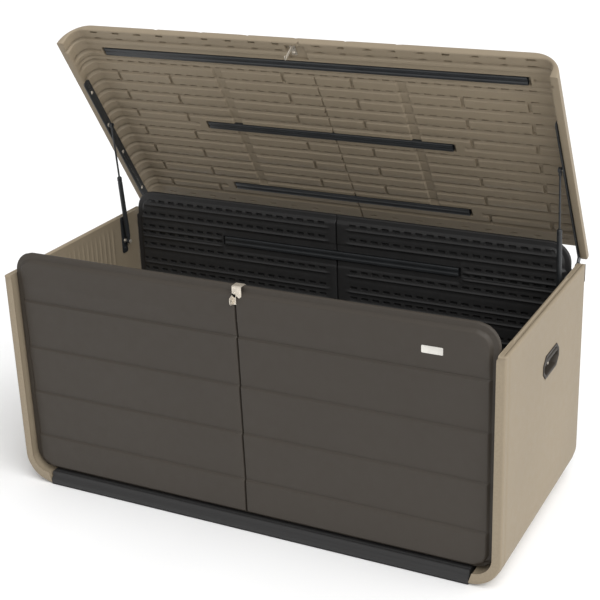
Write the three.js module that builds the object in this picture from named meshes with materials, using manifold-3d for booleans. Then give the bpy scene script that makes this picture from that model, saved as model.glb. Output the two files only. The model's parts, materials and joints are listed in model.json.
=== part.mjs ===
// A deck storage box: blow-moulded plastic panels on a moulded base, with a ribbed lid that swings
// on two rear pins and is held up by two gas struts. The lid stands open.
//
// Millimetres. +X runs to the right along the box, +Y to the back and +Z up. The origin is on the
// ground, under the middle of the base.
import * as THREE from 'three';
import { mergeVertices } from 'three/addons/utils/BufferGeometryUtils.js';
import Module from 'manifold-3d';

// Box body
const LENGTH = 1519;
const DEPTH = 699;
const HALF = LENGTH / 2;
const FRONT = -DEPTH / 2;
const BACK = DEPTH / 2;
const WALL = 23.5; // thickness of a side panel
const INNER = HALF - WALL; // inside face of a side panel
const CORNER_RADIUS = 90; // outside bottom corners, seen from the front
const INNER_CORNER_RADIUS = 58;
const BASE_HEIGHT = 38;
const BASE_LIP = 18; // height of the base's lower edge, which stands out
const BASE_STEP = 8.5; // how far the rest of the base's edge stands back
const BASE_BEVEL = 4;
const BASE_RIB = 34; // between the pockets underneath
const POCKET_COLUMNS = 6;
const POCKET_ROWS = 2;
const POCKET_DEPTH = 10;
const LEDGE_TOP = 667; // outer ledge of a side panel
const LEDGE_WIDTH = 13.5;
const LIP_TOP = 672; // raised inner lip behind the ledge
const LIP_FROM = -250;
const LIP_TO = 215;
const PANEL_TOP = 735; // front and back panels
const RAIL_DEPTH = 12; // rails on the side panels, inside the edges of the front and back panels
const RAIL_THICKNESS = 6;
const FRONT_RAIL_TOP = LEDGE_TOP - 20;

// Front and back panels
const PANEL_FACE = 17; // how far the face stands behind the side panel's edge
const PANEL_THICKNESS = 31;
const FLANGE_SETBACK = 10.5; // from the raised face back to the thin border
const FLANGE_THICKNESS = 13;
const PANEL_PLAY = 3; // round a front or back panel's sides and bottom
const FLANGE_END = INNER - PANEL_PLAY;
const FLANGE_BOTTOM = BASE_HEIGHT + PANEL_PLAY;
const FLANGE_RADIUS = INNER_CORNER_RADIUS - PANEL_PLAY;
const FACE_RADIUS = 46;
const FACE_END = 717;
const FACE_TOP = 722;
const FACE_BOTTOM = 44;
const SEAM = 0.4; // half of the gap between the two halves
const SEAM_BORDER = 4; // from the middle to the raised face
const TOP_RADIUS = 62;
const PLANK_LINES = [155, 300, 445, 590];
const PLANK_LINE_WIDTH = 9;
const PLANK_LINE_DEPTH = 3;
const LOUVRE_ROWS = [82, 125, 161, 184, 226, 270, 306, 329, 371, 415, 451, 474, 507, 559.5, 663.5, 707];
const SHORT_LOUVRE_ROWS = [598, 621.5]; // only beyond the ends of the reinforcing bar
const LOUVRE_FROM = 24; // distances from the middle
const SHORT_LOUVRE_FROM = 420;
const LOUVRE_TO = 700;
const LOUVRE_HEIGHT = 8;
const LOUVRE_DEPTH = 4;
const ARM_NOTCH_X = 726; // the back panels' border is cut away here for the lid arms
const ARM_NOTCH_Z = 655;
const REAR_RAIL_TOP = ARM_NOTCH_Z - 5;

// Lid, measured as it lies closed
const LID_HALF = 755;
const LID_FRONT = FRONT - 8.4;
const LID_BACK = BACK + 30;
const SKIRT_BACK = BACK + 2.5; // the skirt's rear corner is cut off at an angle
const LID_TOP = 759;
const LID_THICKNESS = 22;
const LID_RADIUS = 83;
const LID_INNER_RADIUS = 35;
const SKIRT_BOTTOM = 674;
const SKIRT_CUT_TOP = 721;
const UNDERSIDE = LID_TOP - LID_THICKNESS;
const LID_MIDDLE = 5; // middle rib, and the middle bar
const RIB_FIRST = 36; // from the middle to the first groove on each side
const RIB_PITCH = 40.8;
const RIB_COUNT = 6;
const RIB_GROOVE_WIDTH = 15;
const RIB_GROOVE_DEPTH = 6;
const RIB_END = 684;
const RIM_GROOVE_Y = -323; // behind the front rim
const REAR_GROOVE_Y = 319; // behind the rear bar
const LID_PLANK = 150;
const LID_LINE_WIDTH = 8;
const LID_LINE_DEPTH = 3;
const LID_LINES = 4; // on each side of the middle one
const LATCH_POCKET = { x: 30, front: -346, back: -296, depth: 9 };
const OPEN_ANGLE = THREE.MathUtils.degToRad(58.2);

// Steel bars let into the underside of the lid and the insides of the front and back panels
const BAR_WIDTH = 27;
const BAR_HEIGHT = 14;
const BAR_PROUD = 3.5;
const BAR_RADIUS = 2;
const FRONT_BAR_Y = -275;
const REAR_BAR_Y = 280;
const LONG_BAR_HALF = 650;
const SHORT_BAR_HALF = 394;
const WALL_BAR_Z = 606;
const LID_BARS = [
  { name: 'lid_bar_front', y: FRONT_BAR_Y, half: LONG_BAR_HALF },
  { name: 'lid_bar_middle', y: LID_MIDDLE, half: SHORT_BAR_HALF },
  { name: 'lid_bar_rear', y: REAR_BAR_Y, half: SHORT_BAR_HALF },
];

// Screws, with their heads' centres on the faces that they hold
const SHANK_RADIUS = 3;
const SHANK_LENGTH = 14;
const HEAD_RADIUS = 5.5;
const HEAD_HEIGHT = 2.6;
const BRACKET_SCREWS_Z = [626, 648];
const BRACKET_SCREW_X = 748;
const BRACKET_SCREW_Y = BACK + 3;
const STRUT_BRACKET_SCREWS_Z = [560, 655];
const REAR = [0, 1, 0];
const INWARD = [-1, 0, 0];
const OUTWARD = [1, 0, 0];

// Hinges and arms
const HINGE_Y = 360;
const HINGE_Z = 650.3;
const ARM_INSIDE = 729;
const ARM_THICKNESS = 3;
const ARM_FRONT = -195;
const ARM_BOTTOM = 669;
const ARM_TOP = 697;
const ARM_EYE_RADIUS = 14;
const ARM_END_RADIUS = 8;
const ARM_SCREWS = [-150, 110, 280];
const ARM_MIDDLE = (ARM_BOTTOM + ARM_TOP) / 2;
const ARM_HEEL = 20; // from the pin forward to where the arm's lower edge drops
const ARM_SHOULDER = { back: 8, y: -12, drop: 14 }; // the cut corner above the pin
const PIN_RADIUS = 5;
const PIN_HEAD_RADIUS = 8;
const PIN_HEAD_HEIGHT = 2.6;
const PIN_HEAD_CROWN = 6;
const PIN_END_RADIUS = 7;
const PIN_END_HEIGHT = 2;
const HEAD_CLEARANCE = 2;
const GAP = 0.3; // between touching pieces
const RUNNING = 0.1; // from a shaft to the flats of its hole
const LUG_INSIDE = 733.4;
const LUG_OUTSIDE = 737;
const LUG_RADIUS = 13;
const LUG_BOTTOM = 630;
const LUG_TOP = 664;
const BRACKET_BOTTOM = 612;
const BRACKET_THICKNESS = 2.4;

// Gas struts
const STRUT_X = 718;
const STRUT_FOOT = { y: 230, z: 587 };
const STRUT_HEAD_CLOSED = { y: -11, z: 681.5 };
const CYLINDER_RADIUS = 7.5;
const CYLINDER_END = 224; // distances along a strut are from its foot pivot
const ROD_RADIUS = 3;
const ROD_START = 185;
const EYE_RADIUS = 8;
const EYE_WIDTH = 10;
const EYE_NECK = 14; // from the foot pivot to the cylinder
const HEAD_NECK = 16; // from the rod's end to the head pivot
const STUD_RADIUS = 4;
const STUD_COLLAR = 7;
const STUD_CAP = 6.5;
const COLLAR_THICKNESS = 2;
const HEAD_PLAY = 0.6; // from the head stud's tip to the eye beside it
const CYLINDER_BORE = 6.3;
const CYLINDER_SHOULDER = 1.5;
const PISTON_RADIUS = 5.9;
const PISTON_LENGTH = 8;
const GLAND_LENGTH = 9;
const CYLINDER_FLOOR = 20;
const STRUT_PLATE = { half: 14, bottom: 545, top: 668, radius: 8, thickness: 3 };

// Handles
const HANDLE_Y = 28;
const HANDLE_Z = 500;
const HANDLE_LENGTH = 150;
const HANDLE_HEIGHT = 70;
const HANDLE_DEPTH = 19;
const HANDLE_PROUD = 1.5;
const HANDLE_RIM = 8;
const HANDLE_FLOOR = 3;
const HANDLE_CUT = 24; // across a cut corner of the outline
const GRIP_INSET = 10; // from the outline's ends to the grip's
const GRIP = { bottom: 6, top: 20, radius: 4, back: -9, front: 1 }; // from the handle's middle and the face
const HANDLE_SCREW = [HALF - HANDLE_DEPTH + GAP + HANDLE_FLOOR, HANDLE_Y + 24, HANDLE_Z - 20];

// Latch and badge
const LATCH_THICKNESS = 2;
const STRAP = { left: -6, right: 22, bottom: 706, insideBottom: 723 };
const TOE = { right: 5, bottom: 684, top: 708 };
const EAR = { reach: 18, top: 712, shoulder: 706, corner: 690, heel: 12 };
const PADLOCK_EYE = { setback: 10, z: 696, radius: 4 };
const CATCH = { left: -20, right: -3, back: 10, front: 2 };
const TONGUE = { left: -9.5, right: -7.5, reach: 17, rear: 4, bottom: 688, shoulder: 694, neck: 700 };
const BADGE = { left: 531, right: 589, bottom: 636.5, top: 657, radius: 2.5, thickness: 1.4 };

const ROUND = 16; // facets round a small turned part
const SCREW_ROUND = 10;
const ARC = 10; // facets on a panel corner
const SMALL_ARC = 4; // facets on a bracket's or badge's corner
const BAR_FACETS = 2; // on each corner of a bar or grip
const REACH = 30; // how far a cutter runs past the face it cuts

const wasm = await Module();
wasm.setup();

const materials = {
  tan: { color: 0xaca08a, roughness: 0.6, metalness: 0 },
  umber: { color: 0x4e4944, roughness: 0.62, metalness: 0 },
  black: { color: 0x242223, roughness: 0.6, metalness: 0 },
  handle: { color: 0x2a2725, roughness: 0.5, metalness: 0 },
  darkSteel: { color: 0x2b2d2f, roughness: 0.45, metalness: 0.6 },
  brightSteel: { color: 0xc9c4b8, roughness: 0.3, metalness: 1 },
  badge: { color: 0xe6e3dc, roughness: 0.4, metalness: 0 },
};
for (const name of Object.keys(materials)) {
  materials[name] = new THREE.MeshStandardMaterial(materials[name]);
}

// ---- solids ----

function solidOf(geometry) {
  const bare = geometry.clone();
  bare.deleteAttribute('normal');
  bare.deleteAttribute('uv');
  const merged = mergeVertices(bare, 1e-4);
  return new wasm.Manifold(new wasm.Mesh({
    numProp: 3,
    vertProperties: new Float32Array(merged.attributes.position.array),
    triVerts: new Uint32Array(merged.index.array),
  }));
}

function geometryOf(solid) {
  const mesh = solid.getMesh();
  const geometry = new THREE.BufferGeometry();
  geometry.setAttribute('position', new THREE.BufferAttribute(mesh.vertProperties, 3));
  geometry.setIndex(new THREE.BufferAttribute(mesh.triVerts, 1));
  return geometry;
}

// Joins and cuts a piece made of geometries.
function shaped(added, cut = []) {
  let solid = solidOf(added[0]);
  for (const geometry of added.slice(1)) {
    solid = solid.add(solidOf(geometry));
  }
  for (const geometry of cut) {
    solid = solid.subtract(solidOf(geometry));
  }
  return geometryOf(solid);
}

function block(x0, x1, y0, y1, z0, z1) {
  const geometry = new THREE.BoxGeometry(x1 - x0, y1 - y0, z1 - z0);
  return geometry.translate((x0 + x1) / 2, (y0 + y1) / 2, (z0 + z1) / 2);
}

const ALONG_X = new THREE.Matrix4().makeBasis(
  new THREE.Vector3(0, 1, 0), new THREE.Vector3(0, 0, 1), new THREE.Vector3(1, 0, 0));
const ALONG_Y = new THREE.Matrix4().makeBasis(
  new THREE.Vector3(1, 0, 0), new THREE.Vector3(0, 0, 1), new THREE.Vector3(0, -1, 0));

// An outline in Y and Z, extruded from x0 to x1.
function prismX(outline, x0, x1, segments = ARC) {
  const options = { depth: x1 - x0, bevelEnabled: false, curveSegments: segments };
  return new THREE.ExtrudeGeometry(outline, options).applyMatrix4(ALONG_X).translate(x0, 0, 0);
}

// An outline in X and Z, extruded from y0 to y1.
function prismY(outline, y0, y1, segments = ARC) {
  const options = { depth: y1 - y0, bevelEnabled: false, curveSegments: segments };
  return new THREE.ExtrudeGeometry(outline, options).applyMatrix4(ALONG_Y).translate(0, y1, 0);
}

// A turned piece along +X: each profile point is [radius, x].
function turnedX(profile, x, y, z) {
  const points = profile.map(([radius, along]) => new THREE.Vector2(radius, along));
  return new THREE.LatheGeometry(points, ROUND).rotateZ(-Math.PI / 2).translate(x, y, z);
}

// A turned piece along +Z: each profile point is [radius, z].
function turnedZ(profile, facets = ROUND) {
  const points = profile.map(([radius, along]) => new THREE.Vector2(radius, along));
  return new THREE.LatheGeometry(points, facets).rotateX(Math.PI / 2);
}

function rodX(radius, x0, x1, y, z) {
  return turnedX([[0, x0], [radius, x0], [radius, x1], [0, x1]], 0, y, z);
}

// A cutter along X for the hole in which a shaft of this radius turns.
function runningHole(radius, x, y, z) {
  return rodX((radius + RUNNING) / Math.cos(Math.PI / ROUND), x - REACH, x + REACH, y, z);
}

// The same shape on the left-hand side.
function mirrored(geometry) {
  const copy = geometry.index ? geometry.toNonIndexed() : geometry.clone();
  const place = copy.attributes.position;
  for (let i = 0; i < place.count; i += 3) {
    const corners = [0, 2, 1].map((k) => [place.getX(i + k), place.getY(i + k), place.getZ(i + k)]);
    corners.forEach(([x, y, z], k) => place.setXYZ(i + k, -x, y, z));
  }
  return copy;
}

function roundedRectangle(u0, u1, v0, v1, radius) {
  const shape = new THREE.Shape();
  shape.moveTo(u0 + radius, v0);
  shape.lineTo(u1 - radius, v0);
  shape.absarc(u1 - radius, v0 + radius, radius, -Math.PI / 2, 0, false);
  shape.lineTo(u1, v1 - radius);
  shape.absarc(u1 - radius, v1 - radius, radius, 0, Math.PI / 2, false);
  shape.lineTo(u0 + radius, v1);
  shape.absarc(u0 + radius, v1 - radius, radius, Math.PI / 2, Math.PI, false);
  shape.lineTo(u0, v0 + radius);
  shape.absarc(u0 + radius, v0 + radius, radius, Math.PI, 1.5 * Math.PI, false);
  return shape;
}

// ---- groups ----

const box = new THREE.Group();
const lid = new THREE.Group();
const lidFrame = new THREE.Group(); // holds lid pieces in the box's own coordinates, lid closed
lid.position.set(0, HINGE_Y, HINGE_Z);
lid.rotation.x = -OPEN_ANGLE;
lidFrame.position.set(0, -HINGE_Y, -HINGE_Z);
lid.add(lidFrame);
box.add(lid);

function place(name, geometry, material, parent = box) {
  const mesh = new THREE.Mesh(geometry, materials[material]);
  mesh.name = name;
  parent.add(mesh);
  return mesh;
}

// Adds a right-hand piece and its left-hand twin.
function placePair(name, geometry, material, parent = box) {
  place(`${name}_right`, geometry, material, parent);
  place(`${name}_left`, mirrored(geometry), material, parent);
}

// ---- base ----

function floorPanel() {
  const end = HALF - CORNER_RADIUS - GAP;
  const section = new THREE.Shape();
  section.moveTo(FRONT, 0);
  section.lineTo(BACK, 0);
  section.lineTo(BACK, BASE_LIP);
  section.lineTo(BACK - BASE_STEP, BASE_LIP + BASE_BEVEL);
  section.lineTo(BACK - BASE_STEP, BASE_HEIGHT);
  section.lineTo(FRONT + BASE_STEP, BASE_HEIGHT);
  section.lineTo(FRONT + BASE_STEP, BASE_LIP + BASE_BEVEL);
  section.lineTo(FRONT, BASE_LIP);
  const pockets = [];
  const cellX = (2 * end - BASE_RIB) / POCKET_COLUMNS;
  const cellY = (DEPTH - BASE_RIB) / POCKET_ROWS;
  for (let i = 0; i < POCKET_COLUMNS; i += 1) {
    for (let j = 0; j < POCKET_ROWS; j += 1) {
      const x0 = -end + BASE_RIB + i * cellX;
      const y0 = FRONT + BASE_RIB + j * cellY;
      pockets.push(block(x0, x0 + cellX - BASE_RIB, y0, y0 + cellY - BASE_RIB, -REACH, POCKET_DEPTH));
    }
  }
  return shaped([prismX(section, -end, end)], pockets);
}

// ---- side panels ----

function handleOutline(inset) {
  const halfLength = HANDLE_LENGTH / 2 - inset;
  const halfHeight = HANDLE_HEIGHT / 2 - inset;
  const cut = HANDLE_CUT - inset / 2;
  const shape = new THREE.Shape();
  shape.moveTo(HANDLE_Y - halfLength + cut, HANDLE_Z - halfHeight);
  shape.lineTo(HANDLE_Y + halfLength - cut, HANDLE_Z - halfHeight);
  shape.lineTo(HANDLE_Y + halfLength, HANDLE_Z - halfHeight + cut);
  shape.lineTo(HANDLE_Y + halfLength, HANDLE_Z + halfHeight - cut);
  shape.lineTo(HANDLE_Y + halfLength - cut, HANDLE_Z + halfHeight);
  shape.lineTo(HANDLE_Y - halfLength + cut, HANDLE_Z + halfHeight);
  shape.lineTo(HANDLE_Y - halfLength, HANDLE_Z + halfHeight - cut);
  shape.lineTo(HANDLE_Y - halfLength, HANDLE_Z - halfHeight + cut);
  return shape;
}

// A screw hole, open where the screw enters and a little deeper than its shank.
function screwHole(direction, head) {
  const radius = SHANK_RADIUS + GAP;
  const bottom = -SHANK_LENGTH - 1;
  const hole = turnedZ([[0, bottom], [radius, bottom], [radius, REACH], [0, REACH]], SCREW_ROUND);
  return aimed(hole, direction, head);
}

// Turns a piece made along +Z so that +Z points along direction, and moves it to head.
function aimed(geometry, direction, head) {
  const turn = new THREE.Quaternion().setFromUnitVectors(
    new THREE.Vector3(0, 0, 1), new THREE.Vector3(...direction));
  return geometry.applyQuaternion(turn).translate(...head);
}

// A pan-head screw whose head stands along direction from the face point head.
function screw(direction, head) {
  const profile = [
    [0, -SHANK_LENGTH], [SHANK_RADIUS, -SHANK_LENGTH], [SHANK_RADIUS, GAP],
    [HEAD_RADIUS, GAP], [HEAD_RADIUS, HEAD_HEIGHT * 0.6], [HEAD_RADIUS * 0.7, HEAD_HEIGHT],
    [0, HEAD_HEIGHT],
  ];
  return aimed(turnedZ(profile, SCREW_ROUND), direction, head);
}

function sidePanel() {
  const outline = new THREE.Shape();
  outline.moveTo(HALF - CORNER_RADIUS, 0);
  outline.absarc(HALF - CORNER_RADIUS, CORNER_RADIUS, CORNER_RADIUS, -Math.PI / 2, 0, false);
  outline.lineTo(HALF, LEDGE_TOP);
  outline.lineTo(HALF - LEDGE_WIDTH, LEDGE_TOP);
  outline.lineTo(HALF - LEDGE_WIDTH, LIP_TOP);
  outline.lineTo(INNER, LIP_TOP);
  outline.lineTo(INNER, BASE_HEIGHT + INNER_CORNER_RADIUS);
  const innerBend = BASE_HEIGHT + INNER_CORNER_RADIUS;
  outline.absarc(INNER - INNER_CORNER_RADIUS, innerBend, INNER_CORNER_RADIUS, 0, -Math.PI / 2, true);
  outline.lineTo(HALF - CORNER_RADIUS, BASE_HEIGHT);
  const rail = FRONT + PANEL_FACE + FLANGE_SETBACK + FLANGE_THICKNESS + GAP;
  const railBack = rail + RAIL_THICKNESS;
  const rails = [
    block(INNER - RAIL_DEPTH, INNER + 1, rail, railBack, innerBend, FRONT_RAIL_TOP),
    block(INNER - RAIL_DEPTH, INNER + 1, -railBack, -rail, innerBend, REAR_RAIL_TOP),
  ];
  const cuts = [
    block(INNER - 1, HALF, FRONT - 1, LIP_FROM, LEDGE_TOP, LIP_TOP + 1),
    block(INNER - 1, HALF, LIP_TO, BACK + 1, LEDGE_TOP, LIP_TOP + 1),
    prismX(handleOutline(-GAP), HALF - HANDLE_DEPTH, HALF + REACH),
    screwHole(OUTWARD, HANDLE_SCREW),
  ];
  for (const z of BRACKET_SCREWS_Z) {
    cuts.push(screwHole(REAR, [BRACKET_SCREW_X, BRACKET_SCREW_Y, z]));
  }
  for (const z of STRUT_BRACKET_SCREWS_Z) {
    cuts.push(screwHole(INWARD, [INNER - STRUT_PLATE.thickness, STRUT_FOOT.y, z]));
  }
  return shaped([prismY(outline, FRONT, BACK), ...rails], cuts);
}

// ---- front and back panels ----

// The plan of the thin border, in X and Z.
function flangeOutline() {
  const corner = FLANGE_END - FLANGE_RADIUS;
  const shape = new THREE.Shape();
  shape.moveTo(SEAM, FLANGE_BOTTOM);
  shape.lineTo(corner, FLANGE_BOTTOM);
  shape.absarc(corner, FLANGE_BOTTOM + FLANGE_RADIUS, FLANGE_RADIUS, -Math.PI / 2, 0, false);
  shape.lineTo(FLANGE_END, PANEL_TOP - TOP_RADIUS);
  shape.absarc(FLANGE_END - TOP_RADIUS, PANEL_TOP - TOP_RADIUS, TOP_RADIUS, 0, Math.PI / 2, false);
  shape.lineTo(SEAM, PANEL_TOP);
  return shape;
}

// The plan of the raised face, in X and Z.
function faceOutline() {
  const corner = FACE_END - FACE_RADIUS;
  const shape = new THREE.Shape();
  shape.moveTo(SEAM_BORDER, FACE_BOTTOM);
  shape.lineTo(corner, FACE_BOTTOM);
  shape.absarc(corner, FACE_BOTTOM + FACE_RADIUS, FACE_RADIUS, -Math.PI / 2, 0, false);
  shape.lineTo(FACE_END, FACE_TOP - FACE_RADIUS);
  shape.absarc(corner, FACE_TOP - FACE_RADIUS, FACE_RADIUS, 0, Math.PI / 2, false);
  shape.lineTo(SEAM_BORDER, FACE_TOP);
  return shape;
}

// The right half of the front panel. Its outer face looks towards -Y.
function wallPanel(extraCuts = []) {
  const face = FRONT + PANEL_FACE;
  const inside = face + PANEL_THICKNESS;
  const flangeFront = face + FLANGE_SETBACK;
  const bodies = [
    prismY(flangeOutline(), flangeFront, flangeFront + FLANGE_THICKNESS),
    prismY(faceOutline(), face, inside),
  ];
  const cuts = [...extraCuts];
  for (const z of PLANK_LINES) {
    const low = z - PLANK_LINE_WIDTH / 2;
    cuts.push(block(-1, HALF, face - REACH, face + PLANK_LINE_DEPTH, low, low + PLANK_LINE_WIDTH));
  }
  for (const [rows, from] of [[LOUVRE_ROWS, LOUVRE_FROM], [SHORT_LOUVRE_ROWS, SHORT_LOUVRE_FROM]]) {
    for (const z of rows) {
      const low = z - LOUVRE_HEIGHT / 2;
      cuts.push(block(from, LOUVRE_TO, inside - LOUVRE_DEPTH, inside + REACH, low, low + LOUVRE_HEIGHT));
    }
  }
  const barEnd = SHORT_BAR_HALF + GAP;
  const barBottom = inside + BAR_PROUD - BAR_HEIGHT - GAP;
  const barSide = BAR_WIDTH / 2 + GAP;
  cuts.push(block(-1, barEnd, barBottom, inside + REACH, WALL_BAR_Z - barSide, WALL_BAR_Z + barSide));
  return shaped(bodies, cuts);
}

// The back halves are the same moulding turned round, with a notch for the lid arm.
function backPanel() {
  const notch = block(ARM_NOTCH_X, HALF, FRONT, 0, ARM_NOTCH_Z, PANEL_TOP + REACH);
  return wallPanel([notch]).rotateZ(Math.PI);
}

// A steel bar let into the inside of the front panel, across the seam.
function frontBar() {
  const inside = FRONT + PANEL_FACE + PANEL_THICKNESS + BAR_PROUD;
  const outline = roundedRectangle(
    inside - BAR_HEIGHT, inside, WALL_BAR_Z - BAR_WIDTH / 2, WALL_BAR_Z + BAR_WIDTH / 2, BAR_RADIUS);
  return prismX(outline, -SHORT_BAR_HALF, SHORT_BAR_HALF, BAR_FACETS);
}

// ---- lid ----

function lidOutline() {
  const innerHalf = LID_HALF - LID_THICKNESS;
  const innerRadius = LID_INNER_RADIUS;
  const innerCentre = UNDERSIDE - innerRadius;
  const outerCentre = LID_TOP - LID_RADIUS;
  const shape = new THREE.Shape();
  shape.moveTo(LID_HALF, SKIRT_BOTTOM);
  shape.absarc(LID_HALF - LID_RADIUS, outerCentre, LID_RADIUS, 0, Math.PI / 2, false);
  shape.lineTo(-LID_HALF + LID_RADIUS, LID_TOP);
  shape.absarc(-LID_HALF + LID_RADIUS, outerCentre, LID_RADIUS, Math.PI / 2, Math.PI, false);
  shape.lineTo(-LID_HALF, SKIRT_BOTTOM);
  shape.lineTo(-innerHalf, SKIRT_BOTTOM);
  shape.absarc(-innerHalf + innerRadius, innerCentre, innerRadius, Math.PI, Math.PI / 2, true);
  shape.lineTo(innerHalf - innerRadius, UNDERSIDE);
  shape.absarc(innerHalf - innerRadius, innerCentre, innerRadius, Math.PI / 2, 0, true);
  shape.lineTo(innerHalf, SKIRT_BOTTOM);
  return shape;
}

function lidShell() {
  const cuts = [];
  const grooves = [RIM_GROOVE_Y, REAR_GROOVE_Y];
  for (let k = 0; k < RIB_COUNT; k += 1) {
    const offset = RIB_FIRST + k * RIB_PITCH;
    grooves.push(LID_MIDDLE - offset, LID_MIDDLE + offset);
  }
  for (const y of grooves) {
    const low = y - RIB_GROOVE_WIDTH / 2;
    const top = UNDERSIDE + RIB_GROOVE_DEPTH;
    cuts.push(block(-RIB_END, RIB_END, low, low + RIB_GROOVE_WIDTH, UNDERSIDE - REACH, top));
  }
  for (const bar of LID_BARS) {
    const half = BAR_WIDTH / 2 + GAP;
    const top = UNDERSIDE - BAR_PROUD + BAR_HEIGHT + GAP;
    const end = bar.half + GAP;
    cuts.push(block(-end, end, bar.y - half, bar.y + half, UNDERSIDE - REACH, top));
  }
  const pocket = LATCH_POCKET;
  cuts.push(block(
    -pocket.x, pocket.x, pocket.front, pocket.back, UNDERSIDE - REACH, UNDERSIDE + pocket.depth));
  for (let k = -LID_LINES; k <= LID_LINES; k += 1) {
    const low = k * LID_PLANK - LID_LINE_WIDTH / 2;
    const bottom = LID_TOP - LID_LINE_DEPTH;
    cuts.push(block(low, low + LID_LINE_WIDTH, LID_FRONT - 1, LID_BACK + 1, bottom, LID_TOP + REACH));
  }
  const corner = new THREE.Shape();
  corner.moveTo(SKIRT_BACK, SKIRT_BOTTOM - 1);
  corner.lineTo(LID_BACK + 1, SKIRT_BOTTOM - 1);
  corner.lineTo(LID_BACK + 1, SKIRT_CUT_TOP);
  for (const side of [-1, 1]) {
    cuts.push(prismX(corner, Math.min(0, side * HALF), Math.max(0, side * HALF)));
    for (const y of ARM_SCREWS) {
      cuts.push(screwHole([-side, 0, 0], [side * ARM_INSIDE, y, ARM_MIDDLE]));
    }
  }
  return shaped([prismY(lidOutline(), LID_FRONT, LID_BACK)], cuts);
}

function lidBar(bar) {
  const low = UNDERSIDE - BAR_PROUD;
  const outline = roundedRectangle(
    bar.y - BAR_WIDTH / 2, bar.y + BAR_WIDTH / 2, low, low + BAR_HEIGHT, BAR_RADIUS);
  return prismX(outline, -bar.half, bar.half, BAR_FACETS);
}

// ---- hinges ----

function lidArm() {
  const end = ARM_FRONT + ARM_END_RADIUS;
  const outline = new THREE.Shape();
  outline.moveTo(end, ARM_BOTTOM);
  outline.lineTo(HINGE_Y - ARM_HEEL, ARM_BOTTOM);
  outline.lineTo(HINGE_Y - ARM_EYE_RADIUS + 3, HINGE_Z);
  outline.absarc(HINGE_Y, HINGE_Z, ARM_EYE_RADIUS, Math.PI, 2 * Math.PI, false);
  outline.lineTo(HINGE_Y + ARM_SHOULDER.back, ARM_TOP - ARM_SHOULDER.drop);
  outline.lineTo(HINGE_Y + ARM_SHOULDER.y, ARM_TOP);
  outline.lineTo(end, ARM_TOP);
  outline.absarc(end, ARM_TOP - ARM_END_RADIUS, ARM_END_RADIUS, Math.PI / 2, Math.PI, false);
  outline.lineTo(ARM_FRONT, ARM_BOTTOM + ARM_END_RADIUS);
  outline.absarc(end, ARM_BOTTOM + ARM_END_RADIUS, ARM_END_RADIUS, Math.PI, 1.5 * Math.PI, false);
  const cuts = [runningHole(PIN_RADIUS, ARM_INSIDE, HINGE_Y, HINGE_Z)];
  for (const y of ARM_SCREWS) {
    cuts.push(screwHole(INWARD, [ARM_INSIDE, y, ARM_MIDDLE]));
  }
  return shaped([prismX(outline, ARM_INSIDE, ARM_INSIDE + ARM_THICKNESS)], cuts);
}

function hingeBracket() {
  const rear = BACK + GAP;
  const plate = block(
    LUG_OUTSIDE - 1, HALF - 2, rear, rear + BRACKET_THICKNESS, BRACKET_BOTTOM, LUG_TOP);
  const lug = new THREE.Shape();
  lug.moveTo(rear, LUG_BOTTOM);
  lug.lineTo(HINGE_Y, HINGE_Z - LUG_RADIUS);
  lug.absarc(HINGE_Y, HINGE_Z, LUG_RADIUS, -Math.PI / 2, Math.PI / 2, false);
  lug.lineTo(rear, LUG_TOP);
  const cuts = [runningHole(PIN_RADIUS, LUG_INSIDE, HINGE_Y, HINGE_Z)];
  for (const z of BRACKET_SCREWS_Z) {
    cuts.push(screwHole(REAR, [BRACKET_SCREW_X, BRACKET_SCREW_Y, z]));
  }
  return shaped([plate, prismX(lug, LUG_INSIDE, LUG_OUTSIDE)], cuts);
}

function hingePin() {
  const headEnd = ARM_INSIDE - HEAD_CLEARANCE;
  const headStart = headEnd - PIN_HEAD_HEIGHT;
  const shankEnd = LUG_OUTSIDE + 1.2;
  const tip = shankEnd + PIN_END_HEIGHT;
  const profile = [
    [0, headStart], [PIN_HEAD_CROWN, headStart], [PIN_HEAD_RADIUS, headStart + 1],
    [PIN_HEAD_RADIUS, headEnd], [PIN_RADIUS, headEnd], [PIN_RADIUS, shankEnd],
    [PIN_END_RADIUS, shankEnd], [PIN_END_RADIUS, tip], [0, tip],
  ];
  return turnedX(profile, 0, HINGE_Y, HINGE_Z);
}

// ---- gas struts ----

const headOffset = {
  y: STRUT_HEAD_CLOSED.y - HINGE_Y,
  z: STRUT_HEAD_CLOSED.z - HINGE_Z,
};
const strutHead = {
  y: HINGE_Y + headOffset.y * Math.cos(OPEN_ANGLE) + headOffset.z * Math.sin(OPEN_ANGLE),
  z: HINGE_Z - headOffset.y * Math.sin(OPEN_ANGLE) + headOffset.z * Math.cos(OPEN_ANGLE),
};
const strutRun = { y: strutHead.y - STRUT_FOOT.y, z: strutHead.z - STRUT_FOOT.z };
const strutLength = Math.hypot(strutRun.y, strutRun.z);
const strutLean = Math.atan2(-strutRun.y, strutRun.z);

function strutBracket() {
  const { half, bottom, top, radius, thickness } = STRUT_PLATE;
  const outline = roundedRectangle(STRUT_FOOT.y - half, STRUT_FOOT.y + half, bottom, top, radius);
  const plate = prismX(outline, INNER - thickness, INNER - GAP, SMALL_ARC);
  const cuts = [];
  for (const z of STRUT_BRACKET_SCREWS_Z) {
    cuts.push(screwHole(INWARD, [INNER - thickness, STRUT_FOOT.y, z]));
  }
  return shaped([plate], cuts);
}

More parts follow.
